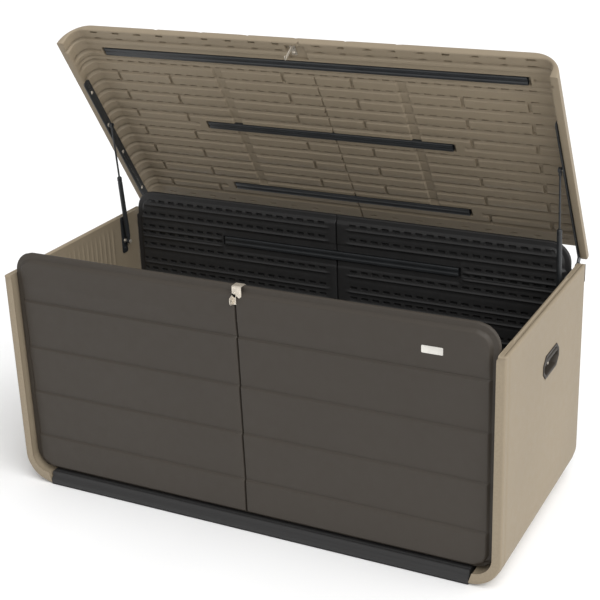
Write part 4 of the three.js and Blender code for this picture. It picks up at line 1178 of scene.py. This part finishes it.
def cross_cutter(name):
    """Two tapered bars across each other, for a screw's recess."""
    points = []
    faces = []
    for turn in (0, math.pi / 2):
        c, s = math.cos(turn), math.sin(turn)
        a = [len(points) + k for k in range(8)]
        for z, reach, half in RECESS_BARS:
            for u, v in ((-reach, -half), (reach, -half), (reach, half), (-reach, half)):
                points.append((u * c - v * s, u * s + v * c, z))
        faces += [(a[0], a[1], a[2], a[3]), (a[7], a[6], a[5], a[4])]
        faces += [(a[k], a[k + 4], a[(k + 1) % 4 + 4], a[(k + 1) % 4]) for k in range(4)]
    return mesh_piece(name, points, faces)


def pan_screw(name, direction, spot):
    """A pan-head screw with a cross recess, its head standing on the face at spot."""
    profile = [(0, -SHANK_LENGTH), (1.2, -SHANK_LENGTH + 0.8)]
    for k in range(THREAD_TURNS):
        height = -SHANK_LENGTH + 2 + THREAD_PITCH * k
        profile += [(SHANK - THREAD_DEPTH, height), (SHANK, height + 0.5), (SHANK - THREAD_DEPTH, height + 1)]
    profile += [(SHANK, 0.1), (SHANK, 0.3), (HEAD_RADIUS - 0.3, 0.3), (HEAD_RADIUS, 0.6)]
    profile += [(HEAD_RADIUS * math.cos(a), HEAD_EDGE + (HEAD_HEIGHT - HEAD_EDGE) * math.sin(a))
                for a in np.radians(np.linspace(0, 90, 9))]
    screw = turned(name, profile, 32)
    cut(screw, cross_cutter(name + "_cut"))
    screw.data.transform(scaled_matrix(frame_of(direction, spot)))
    return finish_mesh(screw, 32)


def screw_spot(corners, direction):
    """Where a screw's head stands, from the corners of its CAD node."""
    middle = (corners[0] + corners[1]) / 2
    return middle + np.array(direction, dtype=float) * (SHANK_LENGTH - HEAD_HEIGHT) / 2


def put_screw(node, direction, material, slot):
    screw = pan_screw(node + "_piece", direction, screw_spot(box_mm(node), direction))
    put(screw, BODY, material, slot, node)


def make_screws():
    for side, sign in SIDES:
        inward = (-sign, 0, 0)
        outward = (sign, 0, 0)
        for k in (1, 2, 3):
            node = f"arm_screw_{k}_{side}"
            screw = pan_screw(node + "_piece", inward, screw_spot(closed_box(node), inward))
            open_piece(screw)
            put(screw, LID, BRIGHT_STEEL, "bright_steel", node)
        for k in (1, 2):
            put_screw(f"hinge_screw_{k}_{side}", (0, 1, 0), BRIGHT_STEEL, "bright_steel")
            put_screw(f"strut_bracket_screw_{k}_{side}", inward, DARK_STEEL, "dark_steel")
        put_screw(f"handle_screw_{side}", outward, BRIGHT_STEEL, "bright_steel")


def make_plates():
    """Arms and brackets, as the CAD has them, with rounded edges."""
    for side, _ in SIDES:
        for kind, body, edge in PLATES:
            node = f"{kind}_{side}"
            put(refined(node, edge), body, DARK_STEEL, "dark_steel", node)


def lathe_x(name, profile, spot, sign, steps=40):
    """A turned piece along X from [radius, x] points for the right side, mirrored for the left."""
    place = Matrix.Translation(spot) @ Matrix.Rotation(math.pi / 2, 4, "Y")
    piece = turned(name, profile, steps, place)
    if sign < 0:
        piece.data.transform(Matrix.Scale(-1, 4, (1, 0, 0)))
        piece.data.flip_normals()
    return piece


def softened(profile, radius=0.5):
    """A turned profile with its outside corners cut round."""
    points = [profile[0]]
    for before, corner, after in zip(profile, profile[1:], profile[2:]):
        back = Vector(before) - Vector(corner)
        ahead = Vector(after) - Vector(corner)
        reach = min(radius, back.length * 0.45, ahead.length * 0.45)
        if reach < 0.05 or corner[0] < 0.01:
            points.append(corner)
            continue
        start = Vector(corner) + back.normalized() * reach
        end = Vector(corner) + ahead.normalized() * reach
        points += [tuple(spot) for spot in corner_curve(Vector(corner), start, end)]
    points.append(profile[-1])
    return points


def side_run(corners, sign):
    """From where to where a part runs in X, as on the right side."""
    low, high = corners
    return (low[0], high[0]) if sign > 0 else (-high[0], -low[0])


def pin_profile(start, stop):
    """A hinge pin, with a dimpled head at the start and a collar at the end."""
    head = [(0, start + 0.8), (2.5, start + 0.8), (3.2, start), (6, start), (8, start + 1.4), (8, start + 2.6)]
    collar = [(7, stop - 2), (7, stop), (3, stop), (2.6, stop - 0.6), (0, stop - 0.6)]
    return head + [(5, start + 2.6), (5, stop - 2)] + collar


def stud_profile(kind, tip, base):
    """A strut's stud, from its tip to the flange at its base; the foot stud has a head."""
    flange = [(4, base - 2), (7, base - 2), (7, base), (0, base)]
    if kind == "foot":
        return [(0, tip + 0.4), (2, tip + 0.4), (3, tip), (6.5, tip), (6.5, tip + 2), (4, tip + 2)] + flange
    return [(0, tip), (4, tip)] + flange


def make_pins_and_studs():
    for side, sign in SIDES:
        node = f"hinge_pin_{side}"
        profile = pin_profile(*side_run(box_mm(node), sign))
        pin = lathe_x(node + "_piece", softened(profile), (0, HINGE[1], HINGE[2]), sign)
        put(pin, BODY, BRIGHT_STEEL, "bright_steel", node)
        for kind, body, corners_of in (("foot", BODY, box_mm), ("head", LID, closed_box)):
            node = f"strut_{kind}_stud_{side}"
            low, high = corners_of(node)
            middle = (low + high) / 2
            profile = stud_profile(kind, *side_run((low, high), sign))
            stud = lathe_x(node + "_piece", softened(profile), (0, middle[1], middle[2]), sign)
            if kind == "head":
                open_piece(stud)
            put(stud, body, BRIGHT_STEEL, "bright_steel", node)


# ---- gas struts ----

STRUT_X = 718
ACROSS = Matrix.Rotation(math.pi / 2, 4, "Y")
EYE_PROFILE = [(4.1, -4.6), (4.5, -5), (7.1, -5), (7.8, -4.5), (8, -3.8), (8, -1.6), (7.6, -1), (7.6, 1),
               (8, 1.6), (8, 3.8), (7.8, 4.5), (7.1, 5), (4.5, 5), (4.1, 4.6), (4.1, -4.6)]
FOOT_NECK = [(0, 5.5), (4.6, 5.5), (5.6, 7), (5.6, 9.4), (6.2, 9.8), (6.2, 12.8), (5.6, 13.5), (0, 13.5)]
CYLINDER = [(0, 14), (5.2, 14), (6.8, 14.6), (7.5, 16.2), (7.5, 24), (7.1, 25), (7.1, 27), (7.5, 28),
            (7.5, 205), (6.9, 206.4), (6.9, 209), (7.5, 210.4), (7.5, 219.5), (7.1, 221.8), (5.8, 223.4),
            (4.6, 224), (3.4, 223.4), (3.4, 215), (6.3, 215), (6.3, 20), (0, 20)]
PISTON = [(0, 185), (5.4, 185), (5.9, 185.6), (5.9, 187.4), (5.2, 188), (5.2, 190), (5.9, 190.6), (5.9, 192.4),
          (5.4, 193), (3, 193)]
ROD_END = [(3, -5), (3.1, -4.6), (3.1, 0), (0, 0)]  # from the end of the rod
HEAD_NECK = [(0, 0.3), (4.2, 0.3), (5, 1), (5, 4), (4.3, 4.6), (4.3, 6.4), (5, 7.2)]  # from the end of the rod
HEAD_NECK_END = [(5, -6), (0, -6)]  # from the middle of the eye
ROD_SHORT = 16  # from the end of the rod to the middle of the eye


def raised(profile, by):
    return [(radius, height + by) for radius, height in profile]


def strut_eye(name, place, centre, neck):
    """An eye across the strut and its neck."""
    ring = turned(name + "_ring", EYE_PROFILE, 44, place @ Matrix.Translation((0, 0, centre)) @ ACROSS)
    post = turned(name + "_neck", softened(neck, 0.6), 40, place)
    return joined(name, [ring, post])


def stud_middle(node, sign):
    low, high = box_mm(node)
    return Vector((sign * STRUT_X, (low[1] + high[1]) / 2, (low[2] + high[2]) / 2))


def make_struts():
    for side, sign in SIDES:
        foot = stud_middle(f"strut_foot_stud_{side}", sign)
        run = stud_middle(f"strut_head_stud_{side}", sign) - foot
        length = run.length
        end = length - ROD_SHORT
        place = Matrix.Translation(foot) @ Matrix.Rotation(math.atan2(-run.y, run.z), 4, "X")
        head_neck = raised(HEAD_NECK, end) + raised(HEAD_NECK_END, length)
        foot_eye = strut_eye(f"strut_foot_eye_{side}_piece", place, 0, FOOT_NECK)
        tube = turned(f"strut_cylinder_{side}_piece", softened(CYLINDER, 0.7), 48, place)
        rod = turned(f"strut_rod_{side}_piece", softened(PISTON + raised(ROD_END, end), 0.3), 40, place)
        head_eye = strut_eye(f"strut_head_eye_{side}_piece", place, length, head_neck)
        for piece, node, body in (
                (foot_eye, "strut_foot_eye", "cylinder"), (tube, "strut_cylinder", "cylinder"),
                (rod, "strut_rod", "rod"), (head_eye, "strut_head_eye", "rod")):
            put(piece, f"{side}_strut_{body}", DARK_STEEL, "dark_steel", f"{node}_{side}")


# ---- handles ----

HANDLE_LEVELS = (  # inset from the handle's outline, and X from the side panel's face
    (0.8, -18.6), (0.2, -18), (0.2, -0.2), (-0.6, -0.1), (-1.1, 0.3), (-1.2, 1.0), (-0.9, 1.8), (0, 2.2),
    (1.6, 2.4), (4.4, 2.2), (6.4, 1.8), (7.6, 0.8), (8.2, -0.8), (9.4, -11.5), (10.2, -14.3), (12.2, -15.6),
    (16, -15.7))
HANDLE_CORNER = 9
GRIP_HALF = 61
GRIP_MARK = 56
GRIP_FLARE_FROM = 46
GRIP_FLARE_RUN = 14
GRIP_FLARE = 0.35
GRIP_SECTION = ((-9, 6), (0.6, 6.5), (0.6, 19.5), (-9, 20))  # X from the panel's face, Z from the middle
GRIP_CORNER = 4.4
GRIP_UNDERSIDE = 9  # the part of the section below this is rippled for the fingers
GRIP_RIPPLE = 0.5
GRIP_RIPPLES = 4


def rounded_loop(corners, radius, steps=5):
    """A closed outline with its corners rounded, as an array of points."""
    points = []
    count = len(corners)
    for k in range(count):
        corner = np.array(corners[k], dtype=float)
        back = np.array(corners[k - 1]) - corner
        ahead = np.array(corners[(k + 1) % count]) - corner
        back_length = np.linalg.norm(back)
        ahead_length = np.linalg.norm(ahead)
        between = math.acos(np.clip(back @ ahead / back_length / ahead_length, -1, 1))
        reach = min(radius / math.tan(between / 2), back_length * 0.48, ahead_length * 0.48)
        start = corner + back / back_length * reach
        end = corner + ahead / ahead_length * reach
        points += corner_curve(corner, start, end, steps)
    return np.array(points)


def at_x(x, outline):
    """An outline in Y and Z as points at one X."""
    return np.column_stack([np.full(len(outline), x), outline])


def stacked(name, loops):
    """A closed piece from a stack of loops with the same numbering, capped at both ends."""
    count = len(loops[0])
    faces = list(loop_faces(len(loops), count)[:, ::-1])
    first = np.arange(count)
    faces += [first[::-1], first + count * (len(loops) - 1)]
    return mesh_piece(name, np.concatenate(loops), faces)


def made_outward(piece):
    """Turns all faces of a closed piece outwards."""
    builder = bmesh.new()
    builder.from_mesh(piece.data)
    bmesh.ops.recalc_face_normals(builder, faces=builder.faces)
    builder.to_mesh(piece.data)
    builder.free()
    return piece


def handle_loop(inset, radius):
    """The handle's outline, a rectangle with cut corners, drawn in by the inset."""
    y, z = HANDLE
    half_length = HANDLE_HALF[0] - inset
    half_height = HANDLE_HALF[1] - inset
    chamfer = max(HANDLE_CHAMFER - inset / 2, 6)
    short_length = half_length - chamfer
    short_height = half_height - chamfer
    corners = [
        (-short_length, -half_height), (short_length, -half_height), (half_length, -short_height),
        (half_length, short_height), (short_length, half_height), (-short_length, half_height),
        (-half_length, short_height), (-half_length, -short_height)]
    return rounded_loop([(y + u, z + v) for u, v in corners], radius)


def grip_loop(section, along, face):
    """The grip's section at a distance along it, wider at its ends and rippled underneath."""
    flare = 1 + GRIP_FLARE * float(smooth((abs(along) - GRIP_FLARE_FROM) / GRIP_FLARE_RUN))
    middle = section.mean(0)
    part = middle + (section - middle) * (1, flare)
    ripple = GRIP_RIPPLE * math.cos(along / GRIP_FLARE_FROM * math.pi * GRIP_RIPPLES)
    ripple *= abs(along) < GRIP_FLARE_FROM
    part[:, 1] += np.where(part[:, 1] < GRIP_UNDERSIDE, ripple, 0)
    return np.column_stack([face + part[:, 0], np.full(len(part), HANDLE[0] + along), HANDLE[1] + part[:, 1]])


def make_handles():
    face = box_mm("side_panel_right")[1][0]
    loops = []
    for inset, height in HANDLE_LEVELS:
        loops.append(at_x(face + height, handle_loop(inset, HANDLE_CORNER - inset / 3)))
    cup = made_outward(stacked("handle_cup", loops))
    section = rounded_loop(GRIP_SECTION, GRIP_CORNER, 6)
    stations = grid_lines(-GRIP_HALF, GRIP_HALF, 6, [-GRIP_MARK, GRIP_MARK])
    grip = made_outward(stacked("handle_grip", [grip_loop(section, along, face) for along in stations]))
    right = joined("handle_right_piece", [cup, grip])
    left = mirrored(right, "handle_left_piece")
    put(right, BODY, GRIP, "handle_plastic", "handle_right")
    put(left, BODY, GRIP, "handle_plastic", "handle_left")


# ---- latches and badge ----

LATCH_FACE = -332.8  # Y of the face that the latch strap stands against
PADLOCK_HOLE = (LATCH_FACE - 10, 696)
PADLOCK_RADIUS = 4
STRAP_OUTSIDE = LATCH_FACE - 2
STRAP_INSIDE = -306.7
STRAP_TOP = 737.3
STRAP_BEND = 4
STRAP_THICKNESS = 2
STRAP_RUN = (-6, 22)
STRAP_STEP = 1.4
STRAP_UP = (704, 705.5, 707, 709, 712, 716, 722, 728)
STRAP_OVER = (-326, -320, -314)
STRAP_DOWN = (730, 726, 723)
LOBE_DEPTH = 4.5
LOBE_RUN = 12  # how far from the strap's foot its lobes are drawn in
TOE_UP = (684, 688, 694, 700, 706, 712, 716)
TOE_RUN = (-6, 5)
EAR = ((-1, 684), (-12, 684), (-18, 690), (-18, 706), (-1, 712))  # Y from the face, and Z
EAR_RUN = (-6, -4)
RIVET_SPOTS = (1, 15)
RIVET_Z = 717
RIVET = ((0, 0), (3.6, 0), (3.6, 0.5), (3.0, 1.2), (1.8, 1.6), (0, 1.7))
CATCH_FRONT = 5.5  # from the tongue's front edge back to the plate
CATCH_RUN = (-20, -3)
TONGUE_BACK = LATCH_FACE - 3.7
TONGUE_RUN = (-9.5, -7.5)
TONGUE_STEP = (700, 694)  # where its front edge starts and ends to run forward, going down
CATCH_SCREWS = (-12, 9, 8)  # X, and Y from the plate's front and back edges
BADGE_CORNER = 3.2


def strap_lobes(x):
    """How far the strap's foot is drawn in: two lobes with a notch between them."""
    start, stop = STRAP_RUN
    return LOBE_DEPTH * (0.5 + 0.5 * math.cos((x - start) / (stop - start) * 4 * math.pi))


def bent_strap(name, path, across, thickness, lobes=None):
    """A strap bent along a path in Y and Z; lobes(x) says how far its first end is drawn in at x."""
    path = np.array(path, dtype=float)
    ahead = np.gradient(path, axis=0)
    ahead /= np.linalg.norm(ahead, axis=1)[:, None]
    normal = np.stack([-ahead[:, 1], ahead[:, 0]], -1)
    run = np.concatenate([[0], np.cumsum(np.linalg.norm(np.diff(path, axis=0), axis=1))])
    top = np.zeros((len(across), len(path), 3))
    bottom = np.zeros_like(top)
    for i, x in enumerate(across):
        drawn = lobes(x) if lobes else 0
        along = np.where(run < LOBE_RUN, drawn + run * (LOBE_RUN - drawn) / LOBE_RUN, run)
        y = np.interp(along, run, path[:, 0])
        z = np.interp(along, run, path[:, 1])
        top[i] = at_x(x, np.stack([y, z], -1))
        bottom[i] = at_x(x, np.stack([y, z], -1) - normal * thickness)
    return bevelled(made_outward(slab(name, top, bottom)), 0.35, 2, 50)


def pierced_plate(name, corners, radius, run):
    """A flat plate in Y and Z over a run of X, with the padlock's hole; the hole sees the whole outline."""
    outline = rounded_loop(corners, radius, 6)
    spread = []
    for start, end in zip(outline, np.roll(outline, -1, 0)):
        pieces = max(1, int(np.linalg.norm(end - start) / 3))
        spread.extend(start + (end - start) * k / pieces for k in range(pieces))
    outline = np.array(spread)
    away = outline - PADLOCK_HOLE
    turn = np.arctan2(away[:, 1], away[:, 0])
    hole = PADLOCK_HOLE + PADLOCK_RADIUS * np.stack([np.cos(turn), np.sin(turn)], -1)
    loops = [at_x(run[0], outline), at_x(run[1], outline), at_x(run[1], hole), at_x(run[0], hole)]
    piece = mesh_piece(name, np.concatenate(loops), loop_faces(4, len(outline), closed=True))
    return bevelled(made_outward(piece), 0.35, 2, 50)


def bend(centre, radius, start, stop):
    turns = np.radians(np.linspace(start, stop, 7))
    return [(centre[0] + radius * math.cos(a), centre[1] + radius * math.sin(a)) for a in turns]


def make_box_latch():
    path = [(STRAP_OUTSIDE, z) for z in STRAP_UP]
    path += bend((STRAP_OUTSIDE + STRAP_BEND, STRAP_TOP - STRAP_BEND), STRAP_BEND, 180, 90)
    path += [(y, STRAP_TOP) for y in STRAP_OVER]
    path += bend((STRAP_INSIDE - STRAP_BEND, STRAP_TOP - STRAP_BEND), STRAP_BEND, 90, 0)
    path += [(STRAP_INSIDE, z) for z in STRAP_DOWN]
    strap = bent_strap("latch_strap", path, grid_lines(*STRAP_RUN, STRAP_STEP), STRAP_THICKNESS, strap_lobes)
    toe_path = [(STRAP_OUTSIDE, z) for z in TOE_UP]
    toe = bent_strap("latch_toe", toe_path, grid_lines(*TOE_RUN, STRAP_STEP), STRAP_THICKNESS)
    ear = pierced_plate("latch_ear", [(LATCH_FACE + y, z) for y, z in EAR], 3, EAR_RUN)
    rivets = []
    for x in RIVET_SPOTS:
        place = frame_of((0, -1, 0), (x, STRAP_OUTSIDE + 0.1, RIVET_Z))
        rivets.append(turned("latch_rivet", RIVET, 24, place))
    put(joined("box_latch_piece", [strap, toe, ear] + rivets), BODY, BRIGHT_STEEL, "bright_steel", "box_latch")


def make_lid_latch():
    low, high = closed_box("lid_latch")
    bottom, ceiling = low[2], high[2]
    front = low[1] + CATCH_FRONT
    under = ceiling - STRAP_THICKNESS
    plate_path = [(y, under) for y in grid_lines(front, high[1], 4)]
    plate = bent_strap("catch_plate", plate_path, grid_lines(*CATCH_RUN, 4), -STRAP_THICKNESS)
    step_top, step_foot = TONGUE_STEP
    corners = [(TONGUE_BACK, ceiling - 1), (front, ceiling - 1), (front, step_top), (low[1], step_foot),
               (low[1], bottom), (TONGUE_BACK, bottom)]
    tongue = pierced_plate("catch_tongue", corners, 2.4, TONGUE_RUN)
    x, from_front, from_back = CATCH_SCREWS
    screws = []
    for y in (front + from_front, high[1] - from_back):
        screws.append(pan_screw("catch_screw", (0, 0, -1), (x, y, under)))
    catch = joined("lid_latch_piece", [plate, tongue] + screws)
    open_piece(catch)
    put(catch, LID, BRIGHT_STEEL, "bright_steel", "lid_latch")


def make_badge():
    low, high = box_mm("badge_plate")
    levels = ((0.4, high[1]), (0, high[1] - 0.3), (0, low[1] + 0.3), (0.3, low[1]), (1.5, low[1]),
              (1.9, low[1] + 0.35), (2.4, low[1] + 0.45))
    loops = []
    for inset, y in levels:
        corners = [(low[0] + inset, low[2] + inset), (high[0] - inset, low[2] + inset),
                   (high[0] - inset, high[2] - inset), (low[0] + inset, high[2] - inset)]
        outline = rounded_loop(corners, BADGE_CORNER - inset, 6)
        loops.append(np.column_stack([outline[:, 0], np.full(len(outline), y), outline[:, 1]]))
    badge = made_outward(stacked("badge_plate_piece", loops))
    put(badge, BODY, BADGE, "badge_plastic", "badge_plate")


make_front_panels()
make_back_panels()
make_side_panels()
make_floor()
make_lid()
make_wall_bars()
make_plates()
make_pins_and_studs()
make_screws()
make_struts()
make_handles()
make_box_latch()
make_lid_latch()
make_badge()


# ---- stage, light and camera ----

STAGE_SIZE = 600  # metres, so that its edge is never seen
STAGE_TONES = ((0.9, 0.9, 0.9, 1), (0.93, 0.93, 0.93, 1))
SKY_STRENGTH = 0.56
SUN_STRENGTH = 2.9
SUN_SPREAD = 70
SUN_AHEAD = (-0.62, 0.3, -0.8)
CAMERA_ANGLES = (27.46, 21.84, -2.08)  # azimuth, elevation and roll
CAMERA_SPOT = (1.660, -3.151, 1.999)
FOCAL_PIXELS = 1327.1  # in a picture 600 pixels wide
PICTURE_WIDTH = 600
SENSOR_WIDTH = 36


def make_stage():
    n = Nodes("stage_floor")
    cloud = n.noise(1.5, 2.0, 0.5)
    n.set(Base_Color=n.mix(n.span(cloud, 0.3, 0.7), *STAGE_TONES), Roughness=0.9)
    bpy.ops.mesh.primitive_plane_add(size=STAGE_SIZE, location=(0, 0, -0.002))
    floor = bpy.context.object
    floor.name = "stage_floor"
    floor.data.materials.append(n.material)


def make_lights():
    world = bpy.data.worlds.new("studio")
    bpy.context.scene.world = world
    world.use_nodes = True
    sky = world.node_tree.nodes["Background"]
    sky.inputs["Color"].default_value = (1, 1, 1, 1)
    sky.inputs["Strength"].default_value = SKY_STRENGTH
    sun = bpy.data.lights.new("key", "SUN")
    sun.energy = SUN_STRENGTH
    sun.angle = math.radians(SUN_SPREAD)
    lamp = bpy.data.objects.new("key", sun)
    lamp.rotation_euler = Vector(SUN_AHEAD).to_track_quat("-Z", "Y").to_euler()
    bpy.context.scene.collection.objects.link(lamp)


def make_camera():
    azimuth, elevation, roll = (math.radians(angle) for angle in CAMERA_ANGLES)
    level = math.cos(elevation)
    ahead = Vector((-math.sin(azimuth) * level, math.cos(azimuth) * level, -math.sin(elevation)))
    right = ahead.cross(Vector((0, 0, 1))).normalized()
    up = right.cross(ahead)
    right, up = right * math.cos(roll) + up * math.sin(roll), up * math.cos(roll) - right * math.sin(roll)
    lens = bpy.data.cameras.new("camera")
    lens.sensor_width = SENSOR_WIDTH
    lens.lens = FOCAL_PIXELS / PICTURE_WIDTH * SENSOR_WIDTH
    camera = bpy.data.objects.new("camera", lens)
    turn = Matrix((right, up, -ahead)).transposed().to_4x4()
    camera.matrix_world = Matrix.Translation(CAMERA_SPOT) @ turn
    bpy.context.scene.collection.objects.link(camera)
    bpy.context.scene.camera = camera


make_stage()
make_lights()
make_camera()
bpy.context.scene.view_settings.view_transform = "Standard"
